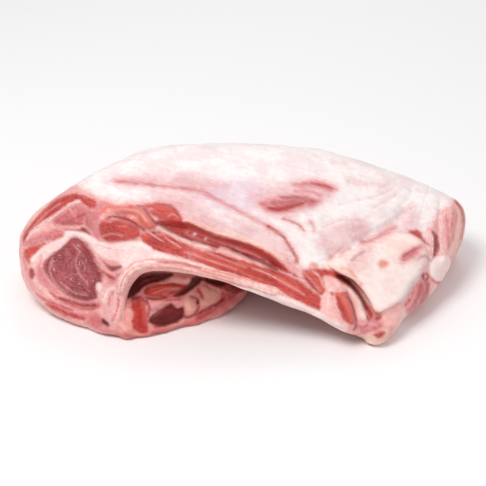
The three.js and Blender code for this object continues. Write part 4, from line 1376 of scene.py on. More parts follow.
@dataclass
class ChestWall:
    """The chest wall that lies on the board under the arch, as a signed field.

    Attributes:
        outline: Its outline on the sketch.
        end: y where it ends.
        rim_round: Rounding of its edge.
        back_round: Rounding of its far end.
    """

    outline: tuple[Point2, ...] = (
        (-98, 42.5), (-98, 14), (-88, 1), (-67.5, -2), (-48, 3), (-24, 11),
        (-6, 23.5), (4, 37), (3, 53.5), (-13, 64), (-67.5, 68),
    )
    end: float = -4.0
    rim_round: float = 15.0
    back_round: float = 26.0
    slope: float = 0.85
    foot_round: float = 4.0

    def value(self, grid: Grid) -> Array:
        """Evaluate the field over a grid."""
        at = grid.columns()
        outline = signed_distance(smooth_line(self.outline, True), at)[..., None]
        board = SKETCH.to_board(grid.places())
        front = (grid.axes()[2] - WALL.height(at)[..., None]) * self.slope
        solid = round_max(np.broadcast_to(outline, front.shape), front, self.rim_round)
        solid = round_max(solid, board[..., 1] - self.end, self.back_round)
        return round_max(solid, -board[..., 2] - 0.2, self.foot_round)


# ------------------------------------------------------------------ net meshes

CORNERS = np.array(list(itertools.product((0, 1), repeat=3)))
MARGIN = 2  # empty cells laid round a field, so that its net closes


def hangs_together(mask: int) -> bool:
    """Whether the corners in a cell's mask join along its edges."""
    members = [i for i in range(8) if mask >> i & 1]
    seen = members[:1]
    for start in seen:
        seen += [
            other for other in members
            if other not in seen and np.abs(CORNERS[start] - CORNERS[other]).sum() == 1
        ]
    return len(seen) == len(members)


PLAIN_CELL = np.array([hangs_together(mask) and hangs_together(255 ^ mask) for mask in range(256)])


@dataclass
class Net:
    """A mesh of quads with its points in sketch units.

    Attributes:
        points: Vertices, u, v, w.
        quads: Four vertices to a face, facing outwards.
    """

    points: Array
    quads: Array

    @classmethod
    def of_field(cls, values: Array, grid: Grid) -> "Net":
        """Mesh the surface where a field passes through 0.

        Args:
            values: The field over the grid, negative inside.
            grid: The grid.

        Returns:
            A closed net with one vertex to each cell that the surface crosses.
        """
        values = cls.settled(np.pad(values, MARGIN, constant_values=FAR))
        masks = cls.masks(values)
        active = (masks != 0) & (masks != 255)
        index = np.full(active.shape, -1)
        index[active] = np.arange(active.sum())
        count = np.zeros(active.sum())
        total = np.zeros((active.sum(), 3))
        quads = []
        for axis in range(3):
            low, high = [slice(None)] * 3, [slice(None)] * 3
            low[axis], high[axis] = slice(0, -1), slice(1, None)
            a, b = values[tuple(low)], values[tuple(high)]
            crossed = np.argwhere((a < 0) != (b < 0))
            a, b = a[tuple(crossed.T)], b[tuple(crossed.T)]
            place = crossed.astype(float)
            place[:, axis] += a / (a - b)
            ring = []
            for back in ((1, 1), (0, 1), (0, 0), (1, 0)):
                cell = crossed.copy()
                cell[:, (axis + 1) % 3] -= back[0]
                cell[:, (axis + 2) % 3] -= back[1]
                corner = index[tuple(cell.T)]
                count += np.bincount(corner, minlength=len(count))
                for k in range(3):
                    total[:, k] += np.bincount(corner, place[:, k], minlength=len(count))
                ring.append(corner)
            ring = np.stack(ring, 1)
            ring[a >= 0] = ring[a >= 0][:, ::-1]
            quads.append(ring)
        points = (total / count[:, None] - MARGIN) * np.array(grid.cell) + np.array(grid.low)
        return cls(points, np.concatenate(quads))

    @staticmethod
    def masks(values: Array) -> Array:
        """Which corners of each cell lie inside, as bits."""
        inside = values < 0
        size = [n - 1 for n in inside.shape]
        masks = np.zeros(size, np.int64)
        for bit, (i, j, k) in enumerate(CORNERS):
            masks |= inside[i:i + size[0], j:j + size[1], k:k + size[2]].astype(np.int64) << bit
        return masks

    @classmethod
    def settled(cls, values: Array) -> Array:
        """Fill the corners of cells whose inside falls apart, so that the net is a manifold."""
        values = values.copy()
        for _ in range(16):
            at = np.argwhere(~PLAIN_CELL[cls.masks(values)])[:, None, :] + CORNERS
            if not len(at):
                break
            here = values[tuple(np.moveaxis(at, -1, 0))]
            pick = np.where(here >= 0, here, np.inf).argmin(1)
            values[tuple(at[np.arange(len(at)), pick].T)] = -0.02
        return values

    def smoothed(self, rounds: int = 3, pull: float = 0.5) -> "Net":
        """Even out the net, then push it back so that it keeps its size.

        Args:
            rounds: How many times.
            pull: Share of the way to the neighbours' middle.

        Returns:
            The net with its points moved.
        """
        start = self.quads.ravel()
        points = self.points
        count = 2 * np.bincount(start, minlength=len(points))[:, None]
        for share in (pull, -pull * 1.02) * rounds:
            total = np.zeros_like(points)
            for end in (np.roll(self.quads, -1, 1).ravel(), np.roll(self.quads, 1, 1).ravel()):
                for k in range(3):
                    total[:, k] += np.bincount(start, points[end, k], minlength=len(points))
            points = points + share * (total / count - points)
        return Net(points, self.quads)

    def normals(self) -> Array:
        """Outward direction at each vertex."""
        corners = self.points[self.quads]
        across = np.cross(corners[:, 2] - corners[:, 0], corners[:, 3] - corners[:, 1])
        total = np.zeros_like(self.points)
        for k in range(3):
            total[:, k] = np.bincount(
                self.quads.ravel(), np.repeat(across[:, k], 4), minlength=len(self.points))
        return total / np.maximum(np.linalg.norm(total, axis=1, keepdims=True), 1e-9)

    def roughened(self, bumps: Sequence["Bump"]) -> "Net":
        """Move every vertex along its normal by seeded noise."""
        normals = self.normals()
        shift = sum(bump.height(self.points) for bump in bumps)
        return Net(self.points + normals * shift[:, None], self.quads)


@dataclass(frozen=True)
class Bump:
    """Unevenness of a surface.

    Attributes:
        seed: Seed of its noise.
        wavelength: Size of one swell.
        rise: Height of it.
        stretch: How much longer it is along u, v and w.
    """

    seed: int
    wavelength: float
    rise: float
    stretch: Point3 = (1.0, 1.0, 1.0)

    def height(self, points: Array) -> Array:
        """Height at each point."""
        return self.rise * Turbulence(self.seed).at(points / np.array(self.stretch), self.wavelength)


def front_paint(net: Net) -> dict[Tissue, Array]:
    """Tissue distances on what faces the front, and of the back on what faces the back."""
    normals = net.normals()
    front = FRONT.paint(net.points[:, :2])
    board = SKETCH.to_board(net.points)
    backward = SKETCH.turned(normals)[:, 1]
    back = BACK.paint(board[:, [0, 2]])
    return {
        tissue: np.minimum(
            np.maximum(front[tissue], (FACING_FRONT - normals[:, 2]) * 12),
            np.maximum(back[tissue], (FACING_BACK - backward) * 12),
        )
        for tissue in Tissue
    }


def line_hollow(net: Net, hollow: Hollow, marks: dict[Tissue, Array]) -> None:
    """Add the ribs and the muscle between them on the hollow's roof to the tissue distances. The roof's deep red is
    partly the muscle's own colour and partly painted shade under the arch.

    Args:
        net: The mesh.
        hollow: The hollow.
        marks: Distances to change.
    """
    board = SKETCH.to_board(net.points)
    depth = FRONT.height(net.points[:, :2], (FLAP,)) - net.points[:, 2]
    roof = np.maximum(np.abs(hollow.above(board)) - LINING, LINING_START - depth)
    between = (RIB_SHARE - hollow.wave(board[:, 1])) * 6
    # the whole roof takes the deep red: partly the muscle between the ribs, partly painted shade under the arch
    marks[Tissue.DEEP] = np.minimum(marks[Tissue.DEEP], roof)
    rib = np.maximum(roof, np.maximum(between, LINING_START + 12 - depth))
    marks[Tissue.PINK] = np.minimum(marks[Tissue.PINK], rib)


LINING = 3.0  # thickness of the roof that takes the hollow's colours
LINING_START = 5.0  # depth behind the front where they begin
RIB_SHARE = 0.25  # swell of the roof above which a rib shows
FACING_FRONT = -0.3  # least w of a normal that takes the front's marks
FACING_BACK = 0.3  # least y of a normal that takes the back's marks


def wall_paint(net: Net) -> dict[Tissue, Array]:
    """Tissue distances on the chest wall."""
    gate = (FACING_FRONT - net.normals()[:, 2]) * 12
    return {tissue: np.maximum(here, gate) for tissue, here in WALL.paint(net.points[:, :2]).items()}


def make_object(
    name: str, points: Array, faces: Array, marks: dict[Tissue, Array], material: bpy.types.Material,
) -> bpy.types.Object:
    """Make a smooth mesh object.

    Args:
        name: Name of the piece.
        points: Vertices in metres.
        faces: Vertices of each face, all with the same count.
        marks: Distance to each tissue at each vertex, kept as attributes.
        material: Its material.

    Returns:
        The object, linked to the scene.
    """
    mesh = bpy.data.meshes.new(name)
    sides = faces.shape[1]
    mesh.vertices.add(len(points))
    points = np.column_stack([points[:, :2], np.maximum(points[:, 2], 0)])
    mesh.vertices.foreach_set("co", points.astype(np.float32).ravel())
    mesh.loops.add(faces.size)
    mesh.loops.foreach_set("vertex_index", faces.astype(np.int32).ravel())
    mesh.polygons.add(len(faces))
    mesh.polygons.foreach_set("loop_start", np.arange(0, faces.size, sides, dtype=np.int32))
    mesh.update(calc_edges=True)
    mesh.validate()
    mesh.shade_smooth()
    for tissue, distance in marks.items():
        layer = mesh.attributes.new(tissue.value, "FLOAT", "POINT")
        layer.data.foreach_set("value", np.clip(distance, -FAR, FAR).astype(np.float32))
    mesh.materials.append(material)
    piece = bpy.data.objects.new(name, mesh)
    bpy.context.scene.collection.objects.link(piece)
    return piece


# --------------------------------------------------------------------- shaders

def srgb(red: int, green: int, blue: int) -> Colour:
    """Linear colour of an 8-bit display colour."""
    def linear(value: int) -> float:
        share = value / 255
        return share / 12.92 if share <= 0.04045 else ((share + 0.055) / 1.055) ** 2.4
    return (linear(red), linear(green), linear(blue), 1.0)


class Value:
    """A shader socket that takes part in arithmetic."""

    def __init__(self, shader: "Shader", socket: bpy.types.NodeSocket) -> None:
        """Wrap one output socket of a shader's node."""
        self.shader = shader
        self.socket = socket

    def __add__(self, other: "Value | float") -> "Value":
        """Sum."""
        return self.shader.math("ADD", self, other)

    __radd__ = __add__

    def __sub__(self, other: "Value | float") -> "Value":
        """Difference."""
        return self.shader.math("SUBTRACT", self, other)

    def __rsub__(self, other: float) -> "Value":
        """Difference from a number."""
        return self.shader.math("SUBTRACT", other, self)

    def __mul__(self, other: "Value | float") -> "Value":
        """Product."""
        return self.shader.math("MULTIPLY", self, other)

    __rmul__ = __mul__

    def step(self, low: float, high: float) -> "Value":
        """Smooth step from 0 at low to 1 at high, which may be the lower of the two."""
        return self.shader.node(
            "ShaderNodeMapRange", {"interpolation_type": "SMOOTHSTEP"},
            {"Value": self, "From Min": low, "From Max": high},
        )


class Shader:
    """A material whose node tree is written as expressions."""

    def __init__(self, name: str) -> None:
        """Start an empty material."""
        self.material = bpy.data.materials.new(name)
        self.material.use_nodes = True
        self.tree = self.material.node_tree
        self.tree.nodes.clear()

    def node(self, kind: str, settings: dict | None = None, inputs: dict | None = None,
             output: str | int = 0) -> Value:
        """Add a node.

        Args:
            kind: The node's type.
            settings: Its own settings, set first.
            inputs: Value or link of each input socket, by name or number.
            output: The output socket to return.

        Returns:
            That output, or an empty value where the node has none.
        """
        node = self.tree.nodes.new(kind)
        for key, value in (settings or {}).items():
            setattr(node, key, value)
        for key, value in (inputs or {}).items():
            if isinstance(value, Value):
                self.tree.links.new(value.socket, node.inputs[key])
            else:
                node.inputs[key].default_value = value
        return Value(self, node.outputs[output] if node.outputs else None)

    def math(self, operation: str, a: Value | float, b: Value | float) -> Value:
        """Combine two values."""
        return self.node("ShaderNodeMath", {"operation": operation}, {0: a, 1: b})

    def mix(self, share: Value | float, a: Value | Colour, b: Value | Colour) -> Value:
        """Mix two colours."""
        return self.node("ShaderNodeMix", {"data_type": "RGBA"}, {0: share, 6: a, 7: b}, 2)

    def attribute(self, name: str) -> Value:
        """Read a number kept at the mesh's vertices."""
        return self.node("ShaderNodeAttribute", {"attribute_name": name}, {}, "Fac")

    def place(self) -> Value:
        """Object coordinates."""
        return self.node("ShaderNodeTexCoord", {}, {}, "Object")

    def dot(self, vector: Value, direction: Vector) -> Value:
        """Length of a vector along a direction."""
        return self.node(
            "ShaderNodeVectorMath", {"operation": "DOT_PRODUCT"}, {0: vector, 1: tuple(direction)}, "Value")

    def stretched(self, along: Vector, length: float, width: float) -> Value:
        """Coordinates for a grain that runs along a direction.

        Args:
            along: Direction of the fibres.
            length: Length of a fibre, metres.
            width: Width of a fibre, metres.

        Returns:
            Coordinates in which one unit is one fibre.
        """
        side = along.cross(Vector((0.2, 1, 0.3))).normalized()
        place = self.place()
        return self.node("ShaderNodeCombineXYZ", {}, {
            0: self.dot(place, along) * (1 / length),
            1: self.dot(place, side) * (1 / width),
            2: self.dot(place, along.cross(side)) * (1 / width),
        })

    def noise(self, vector: Value, scale: float, detail: float = 3.0, roughness: float = 0.55) -> Value:
        """Noise between 0 and 1 over coordinates."""
        return self.node("ShaderNodeTexNoise", {}, {
            "Vector": vector, "Scale": scale, "Detail": detail, "Roughness": roughness})

    def bump(self, height: Value, strength: float, distance: float, normal: Value | None = None) -> Value:
        """A bumped normal."""
        inputs = {"Height": height, "Strength": strength, "Distance": distance}
        if normal:
            inputs["Normal"] = normal
        return self.node("ShaderNodeBump", {}, inputs)

    def finish(self, **inputs: Value | float | Colour) -> bpy.types.Material:
        """End the tree in a principled shader with the given sockets.

        Args:
            **inputs: Value or link of each socket, its name in snake case.

        Returns:
            The material.
        """
        sockets = {name.replace("_", " ").title().replace("Ior", "IOR"): value for name, value in inputs.items()}
        surface = self.node("ShaderNodeBsdfPrincipled", {}, sockets)
        self.node("ShaderNodeOutputMaterial", {}, {"Surface": surface})
        return self.material


# -------------------------------------------------------------------- finishes

@dataclass(frozen=True)
class Coat:
    """How one kind of tissue looks.

    Attributes:
        tissue: The tissue.
        pale: Its colour where the grain is light.
        full: Its colour where the grain is dark.
        edge: Softness of its border, in sketch units.
        cover: Share of what lies under it that it hides.
        wander: How far noise moves its border.
        lean: Whether it is muscle, wetter than fat and frayed along its fibres.
        halo: Share of pink that it stains what is round it with; where above 0, the tissue is also painted darker
            just inside its border, as painted shade of the crevice round it.
    """

    tissue: Tissue
    pale: Colour
    full: Colour
    edge: float
    cover: float
    wander: float
    lean: bool = False
    halo: float = 0.0


COATS = (
    Coat(Tissue.CUT, srgb(250, 210, 203), srgb(228, 152, 148), 4.0, 1.0, 4.0),
    Coat(Tissue.MILK, srgb(238, 212, 226), srgb(222, 186, 202), 6.0, 0.6, 4.0),
    Coat(Tissue.ROSE, srgb(238, 186, 188), srgb(220, 140, 144), 6.0, 0.6, 5.0),
    Coat(Tissue.CREAM, srgb(255, 226, 210), srgb(240, 192, 174), 2.2, 0.92, 2.4),
    Coat(Tissue.BLUSH, srgb(230, 144, 148), srgb(198, 88, 94), 2.4, 0.88, 3.0, True, 0.35),
    Coat(Tissue.RED, srgb(216, 74, 64), srgb(172, 32, 28), 1.6, 0.94, 2.4, True, 0.4),
    Coat(Tissue.DUSKY, srgb(184, 88, 96), srgb(128, 36, 46), 1.6, 0.94, 2.2, True, 0.35),
    Coat(Tissue.ORANGE, srgb(238, 132, 106), srgb(218, 86, 66), 2.0, 0.7, 1.8, True),
    Coat(Tissue.DEEP, srgb(172, 42, 38), srgb(118, 16, 18), 1.4, 0.88, 1.6, True, 0.35),
    Coat(Tissue.WINE, srgb(124, 26, 34), srgb(84, 12, 20), 1.4, 0.96, 2.0, True),
    Coat(Tissue.GRAIN, srgb(168, 44, 44), srgb(128, 22, 26), 1.3, 0.42, 1.0, True),
    Coat(Tissue.THREAD, srgb(250, 196, 190), srgb(236, 160, 156), 1.1, 0.55, 1.0),
    Coat(Tissue.PINK, srgb(252, 206, 200), srgb(236, 166, 160), 1.2, 0.85, 2.2),
    Coat(Tissue.WHITE, srgb(255, 238, 234), srgb(246, 208, 206), 1.3, 0.9, 2.2),
    # painted shade: the near-black of slits, gaps and hollows
    Coat(Tissue.DARK, srgb(98, 14, 12), srgb(54, 4, 4), 1.5, 0.9, 1.2),
)
STAIN = srgb(236, 168, 168)
PALE_THREAD = srgb(240, 176, 170)
CAP_FAT = (srgb(253, 246, 244), srgb(243, 223, 223))
CUT_FAT = (srgb(248, 208, 202), srgb(222, 148, 142))
CAP_GRAIN = (1.0, -0.16, 0.0)
UNIT = SKETCH.unit


@dataclass(frozen=True)
class MeatFinish:
    """Fat and lean of the joint, painted by the tissue distances of a mesh.

    Attributes:
        name: Name of the material.
        grain: Direction of the muscle fibres on the sketch.
        fibre: Length and width of a fibre, metres.
        drawing: Length and width of a streak in the fat, metres.
        fat: Colours of the fat, light and dark.
        shade_tint: Colour that everything is darkened with, as painted shade for a piece that lies in shade.
        wash: Share of pink that shows through the fat.
        fat_rough: Roughness of fat.
        lean_rough: Roughness of muscle.
        coat: Weight of the wet film on it.
        ior: Index of refraction of what lies under the film.
    """

    name: str
    grain: Point3 = (0.94, -0.34, 0.0)
    fibre: Point2 = (9e-3, 1.0e-3)
    drawing: Point2 = (26e-3, 3.4e-3)
    fat: tuple[Colour, Colour] = CAP_FAT
    shade_tint: Colour = (1.0, 1.0, 1.0, 1.0)
    wash: float = 0.17
    fat_rough: float = 0.5
    lean_rough: float = 0.3
    coat: float = 0.2
    ior: float = 1.34

    def material(self) -> bpy.types.Material:
        """Build the material."""
        shader = Shader(self.name)
        place = shader.place()
        along = shader.stretched(SKETCH.direction(self.grain), *self.fibre)
        fibres = shader.noise(along, 1.0, 4.0, 0.6)
        mottle = shader.noise(place, 240.0, 4.0, 0.62)
        cloud = shader.noise(place, 55.0, 3.0, 0.55)
        drawn = shader.noise(shader.stretched(SKETCH.direction(CAP_GRAIN), *self.drawing), 1.0, 4.0, 0.6)
        edge = mottle * 0.55 + shader.noise(place, 780.0, 2.0, 0.6) * 0.45 - 0.5
        frayed = fibres * 0.45 + mottle * 0.3 + cloud * 0.25 - 0.5
        threads = self.threads(shader, along, 0.5)
        grain = (fibres * 0.36 + mottle * 0.2 + cloud * 0.44).step(0.36, 0.64)
        fat = (drawn * 0.25 + cloud * 0.5 + mottle * 0.25).step(0.4, 0.6)
        colour = shader.mix(fat, self.fat[1], self.fat[0])
        colour = shader.mix((drawn * 0.5 + cloud * 0.5).step(0.5, 0.66) * self.wash, colour, STAIN)
        lean = 0.0
        for coat in COATS:
            border = shader.attribute(coat.tissue.value) + (frayed if coat.lean else edge) * (2 * coat.wander)
            mask = border.step(coat.edge, -coat.edge) * coat.cover
            full = shader.mix(grain, coat.full, coat.pale)
            if coat.halo:
                colour = shader.mix(border.step(5.0, 0.0) * coat.halo, colour, STAIN)
                # painted shade: just inside a muscle's border its colour is darker, as if in the crevice round it
                deep = shader.mix(grain * 0.75, coat.full, coat.pale)
                full = shader.mix(border.step(-0.2, -3.0), deep, full)
                full = shader.mix(threads * 0.18, full, PALE_THREAD)
            if coat.lean:
                lean = mask + lean * (1 - mask)
            elif lean:
                lean = lean * (1 - mask)
            colour = shader.mix(mask, colour, full)
        # painted shade: everything is multiplied by the tint, which darkens a piece that lies in shade
        colour = shader.node(
            "ShaderNodeMix", {"data_type": "RGBA", "blend_type": "MULTIPLY"}, {0: 1.0, 6: colour, 7: self.shade_tint}, 2)
        rough = self.fat_rough + lean * (self.lean_rough - self.fat_rough) + (mottle - 0.5) * 0.2
        relief = shader.noise(place, 620.0, 3.0, 0.6) * (1 - lean) + (fibres + threads * 0.3) * lean
        bumped = shader.bump(relief, 0.45, 0.8e-3)
        bumped = shader.bump(mottle * 0.8 + drawn * 0.4, 0.4, 1.6e-3, bumped)
        return shader.finish(
            base_color=colour, roughness=rough, normal=bumped,
            subsurface_weight=0.12, subsurface_radius=(1.0, 0.36, 0.24), subsurface_scale=3e-3,
            coat_weight=self.coat, coat_roughness=0.14, ior=self.ior,
        )

    @staticmethod
    def threads(shader: Shader, place: Value, scale: float) -> Value:
        """Fine bright lines, where a noise passes through its middle."""
        away = shader.math("ABSOLUTE", shader.noise(place, scale, 3.0, 0.6) - 0.5, 0.0)
        return away.step(0.035, 0.0)


@dataclass(frozen=True)
class BoneFinish:
    """Cut bone: a streaked rim round a bloody core.

    Attributes:
        name: Name of the material.
        rim: Colours of the rim, light and dark.
        line: Colour of the lines that run along it.
        core: Colours of the core, light and dark.
    """

    name: str
    rim: tuple[Colour, Colour] = (srgb(250, 212, 204), srgb(230, 158, 152))
    line: Colour = srgb(222, 134, 112)
    core: tuple[Colour, Colour] = (srgb(206, 92, 84), srgb(150, 44, 42))

    def material(self) -> bpy.types.Material:
        """Build the material."""
        shader = Shader(self.name)
        place = shader.place()
        mottle = shader.noise(place, 320.0, 4.0, 0.6)
        side = shader.attribute("side")
        ring = shader.node("ShaderNodeCombineXYZ", {}, {0: side * 0.6, 1: shader.dot(place, Vector((24, 0, 0)))})
        lines = shader.noise(ring, 1.0, 3.0, 0.6)
        rim = shader.mix((lines * 0.6 + mottle * 0.4).step(0.4, 0.6), *self.rim)
        rim = shader.mix(lines.step(0.53, 0.64) * side.step(0.0, 0.4) * 0.6, rim, self.line)
        core = (shader.attribute("core") + (mottle - 0.5) * 4.0).step(1.0, -1.0) * 0.9
        colour = shader.mix(core, rim, shader.mix(mottle.step(0.38, 0.62), *self.core))
        bumped = shader.bump(mottle * 0.6 + lines * 0.4, 0.35, 0.8e-3)
        return shader.finish(
            base_color=colour, roughness=0.4 + mottle * 0.12, normal=bumped,
            subsurface_weight=0.12, subsurface_radius=(1.0, 0.5, 0.36), subsurface_scale=3e-3,
            coat_weight=0.2, coat_roughness=0.2,
        )


@dataclass(frozen=True)
class SinewFinish:
    """Sinew, membrane threads and marbling: pale, wet and slightly see-through."""

    name: str
    pale: Colour = srgb(250, 212, 208)
    full: Colour = srgb(234, 166, 162)

    def material(self) -> bpy.types.Material:
        """Build the material."""
        shader = Shader(self.name)
        mottle = shader.noise(shader.place(), 420.0, 3.0, 0.55)
        return shader.finish(
            base_color=shader.mix(mottle.step(0.35, 0.65), self.full, self.pale),
            roughness=0.34 + mottle * 0.16, normal=shader.bump(mottle, 0.2, 0.5e-3),
            subsurface_weight=0.2, subsurface_radius=(1.0, 0.45, 0.35), subsurface_scale=2e-3,
            coat_weight=0.15, coat_roughness=0.2,
        )


@dataclass(frozen=True)
class FloorFinish:
    """A plain near-white board under the joint."""

    name: str = "pale_floor"
    colour: Colour = srgb(250, 249, 249)

    def material(self) -> bpy.types.Material:
        """Build the material."""
        return Shader(self.name).finish(base_color=self.colour, roughness=0.9)


# -------------------------------------------------------------- geometry nodes

class NodeTool:
    """A geometry nodes tree that is built in code and baked into a mesh."""

    def __init__(self, name: str) -> None:
        """Start a tree that takes and gives geometry."""
        self.tree = bpy.data.node_groups.new(name, "GeometryNodeTree")
        self.sizes: dict[str, str] = {}
        self.tree.interface.new_socket("Geometry", in_out="INPUT", socket_type="NodeSocketGeometry")
        self.tree.interface.new_socket("Geometry", in_out="OUTPUT", socket_type="NodeSocketGeometry")
        self.start = self.tree.nodes.new("NodeGroupInput")
        self.end = self.tree.nodes.new("NodeGroupOutput")

    def size(self, name: str, kind: str = "NodeSocketFloat") -> bpy.types.NodeSocket:
        """Add a named input and return its socket."""
        item = self.tree.interface.new_socket(name, in_out="INPUT", socket_type=kind)
        self.sizes[name] = item.identifier
        return next(socket for socket in self.start.outputs if socket.identifier == item.identifier)

    def node(self, kind: str, settings: dict | None = None, inputs: dict | None = None,
             output: str | int = 0) -> bpy.types.NodeSocket:
        """Add a node.

        Args:
            kind: The node's type.
            settings: Its own settings, set first.
            inputs: Value or link of each input socket, by name or number.
            output: The output socket to return.

        Returns:
            That output.
        """
        node = self.tree.nodes.new(kind)
        for key, value in (settings or {}).items():
            setattr(node, key, value)
        for key, value in (inputs or {}).items():
            if isinstance(value, bpy.types.NodeSocket):
                self.tree.links.new(value, node.inputs[key])
            else:
                node.inputs[key].default_value = value
        return node.outputs[output]

    def close(self, geometry: bpy.types.NodeSocket, material: bpy.types.Material) -> None:
        """End the tree: instances made real, one material."""
        real = self.node("GeometryNodeRealizeInstances", {}, {"Geometry": geometry})
        done = self.node("GeometryNodeSetMaterial", {}, {"Geometry": real, "Material": material})
        self.tree.links.new(done, self.end.inputs[0])

    def apply(self, source: bpy.types.Object, name: str, sizes: dict) -> bpy.types.Object:
        """Bake the tree on an object into a new mesh and remove the object.

        Args:
            source: The object that the tree reads.
            name: Name of the piece.
            sizes: Value of each named input.

        Returns:
            The new object.
        """
        modifier = source.modifiers.new(self.tree.name, "NODES")
        modifier.node_group = self.tree
        for key, value in sizes.items():
            modifier[self.sizes[key]] = value
        graph = bpy.context.evaluated_depsgraph_get()
        mesh = bpy.data.meshes.new_from_object(source.evaluated_get(graph))
        source.modifiers.remove(modifier)
        bpy.data.objects.remove(source)
        mesh.name = name
        mesh.shade_smooth()
        piece = bpy.data.objects.new(name, mesh)
        bpy.context.scene.collection.objects.link(piece)
        return piece


def path_object(name: str, paths: Sequence[Array], radii: Sequence[float]) -> bpy.types.Object:
    """Make an object of plain polylines.

    Args:
        name: Its name.
        paths: Points of each line, in metres.
        radii: Thickness of each line, kept as an attribute.

    Returns:
        The object, linked to the scene.
    """
    mesh = bpy.data.meshes.new(name)
    starts = np.cumsum([0, *[len(path) for path in paths]])
    edges = [(s + i, s + i + 1) for s, path in zip(starts, paths) for i in range(len(path) - 1)]
    mesh.from_pydata(np.concatenate(paths).tolist(), edges, [])
    layer = mesh.attributes.new("thickness", "FLOAT", "POINT")
    layer.data.foreach_set("value", np.repeat(radii, [len(path) for path in paths]).astype(np.float32))
    source = bpy.data.objects.new(name, mesh)
    bpy.context.scene.collection.objects.link(source)
    return source


BLUNT_END = 0.15  # share of its thickness that a cord keeps at its ends


def sweep_tool(material: bpy.types.Material) -> NodeTool:
    """Build the tree that sweeps uneven, tapered cords along lines."""
    tool = NodeTool("sweep")
    step, sides = tool.size("Step"), tool.size("Sides", "NodeSocketInt")
    uneven, taper = tool.size("Unevenness"), tool.size("Taper")
    curve = tool.node("GeometryNodeMeshToCurve", {}, {"Mesh": tool.start.outputs[0]})
    curve = tool.node(
        "GeometryNodeResampleCurve", {"mode": "LENGTH"}, {"Curve": curve, "Length": step})
    thickness = tool.node(
        "GeometryNodeInputNamedAttribute", {"data_type": "FLOAT"}, {"Name": "thickness"})
    along = tool.node("GeometryNodeSplineParameter")
    middle = tool.node("ShaderNodeMath", {"operation": "PINGPONG"}, {0: along, 1: 0.5})
    share = tool.node("ShaderNodeMath", {"operation": "DIVIDE", "use_clamp": True}, {0: middle, 1: taper})
    root = tool.node("ShaderNodeMath", {"operation": "SQRT"}, {0: share})
    root = tool.node("ShaderNodeMath", {"operation": "MAXIMUM"}, {0: root, 1: BLUNT_END})
    noise = tool.node(
        "ShaderNodeTexNoise", {"noise_dimensions": "3D"}, {"Scale": 150.0, "Detail": 2.0})
    swing = tool.node("ShaderNodeMapRange", {}, {"Value": noise, "From Min": 0.3, "From Max": 0.7,
                                                 "To Min": -1.0, "To Max": 1.0})
    swell = tool.node("ShaderNodeMath", {"operation": "MULTIPLY_ADD"}, {0: swing, 1: uneven, 2: 1.0})
    radius = tool.node("ShaderNodeMath", {"operation": "MULTIPLY"}, {0: thickness, 1: root})
    radius = tool.node("ShaderNodeMath", {"operation": "MULTIPLY"}, {0: radius, 1: swell})
    section = tool.node("GeometryNodeCurvePrimitiveCircle", {}, {"Resolution": sides, "Radius": 1.0})
    mesh = tool.node("GeometryNodeCurveToMesh", {}, {
        "Curve": curve, "Profile Curve": section, "Scale": radius, "Fill Caps": True})
    tool.close(mesh, material)
    return tool


def fleck_tool(material: bpy.types.Material) -> NodeTool:
    """Build the tree that scatters flecks of marbling over the cut muscle."""
    tool = NodeTool("flecks")
    density, seed = tool.size("Density"), tool.size("Seed", "NodeSocketInt")
    length, width = tool.size("Length"), tool.size("Width")
    where = tool.node(
        "GeometryNodeInputNamedAttribute", {"data_type": "FLOAT"}, {"Name": Tissue.DUSKY.value})
    inside = tool.node("ShaderNodeMapRange", {}, {
        "Value": where, "From Min": -1.5, "From Max": -4.0, "To Min": 0.0, "To Max": 1.0})
    dense = tool.node("ShaderNodeMath", {"operation": "MULTIPLY"}, {0: inside, 1: density})
    spread = tool.tree.nodes.new("GeometryNodeDistributePointsOnFaces")
    tool.tree.links.new(tool.start.outputs[0], spread.inputs["Mesh"])
    tool.tree.links.new(dense, spread.inputs["Density"])
    tool.tree.links.new(seed, spread.inputs["Seed"])
    ball = tool.node("GeometryNodeMeshIcoSphere", {}, {"Radius": 1.0, "Subdivisions": 2})
    size = tool.node("FunctionNodeRandomValue", {"data_type": "FLOAT"}, {2: 0.5, 3: 1.0, "Seed": seed}, 1)
    long = tool.node("ShaderNodeMath", {"operation": "MULTIPLY"}, {0: size, 1: length})
    flat = tool.node("ShaderNodeCombineXYZ", {}, {"X": long, "Y": width, "Z": width})
    grain = tool.node("ShaderNodeTexNoise", {"noise_dimensions": "3D"}, {"Scale": 60.0, "Detail": 1.0}, "Color")
    swirl = tool.node("ShaderNodeVectorMath", {"operation": "SUBTRACT"}, {0: grain, 1: (0.5, 0.5, 0.5)})
    laid = tool.node("FunctionNodeAlignRotationToVector", {"axis": "X", "pivot_axis": "Z"}, {
        "Rotation": spread.outputs["Rotation"], "Vector": swirl})
    flecks = tool.node("GeometryNodeInstanceOnPoints", {}, {
        "Points": spread.outputs["Points"], "Instance": ball, "Rotation": laid, "Scale": flat})
    tool.close(flecks, material)
    return tool


# ---------------------------------------------------------------- sub-assemblies

def keep(piece: bpy.types.Object, slot: str, *nodes: str) -> bpy.types.Object:
    """Let a finished piece ride on the joint.

    Args:
        piece: The piece.
        slot: The record's material slot; not used.
        *nodes: CAD nodes that it stands for.

    Returns:
        The piece.
    """
    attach(piece, BODY)
    if nodes:
        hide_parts(*nodes)
    triangles = sum(len(polygon.vertices) - 2 for polygon in piece.data.polygons)
    LOG.info("%s: %d triangles", piece.name, triangles)
    return piece


MEAT, BONE = "meat", "bone"

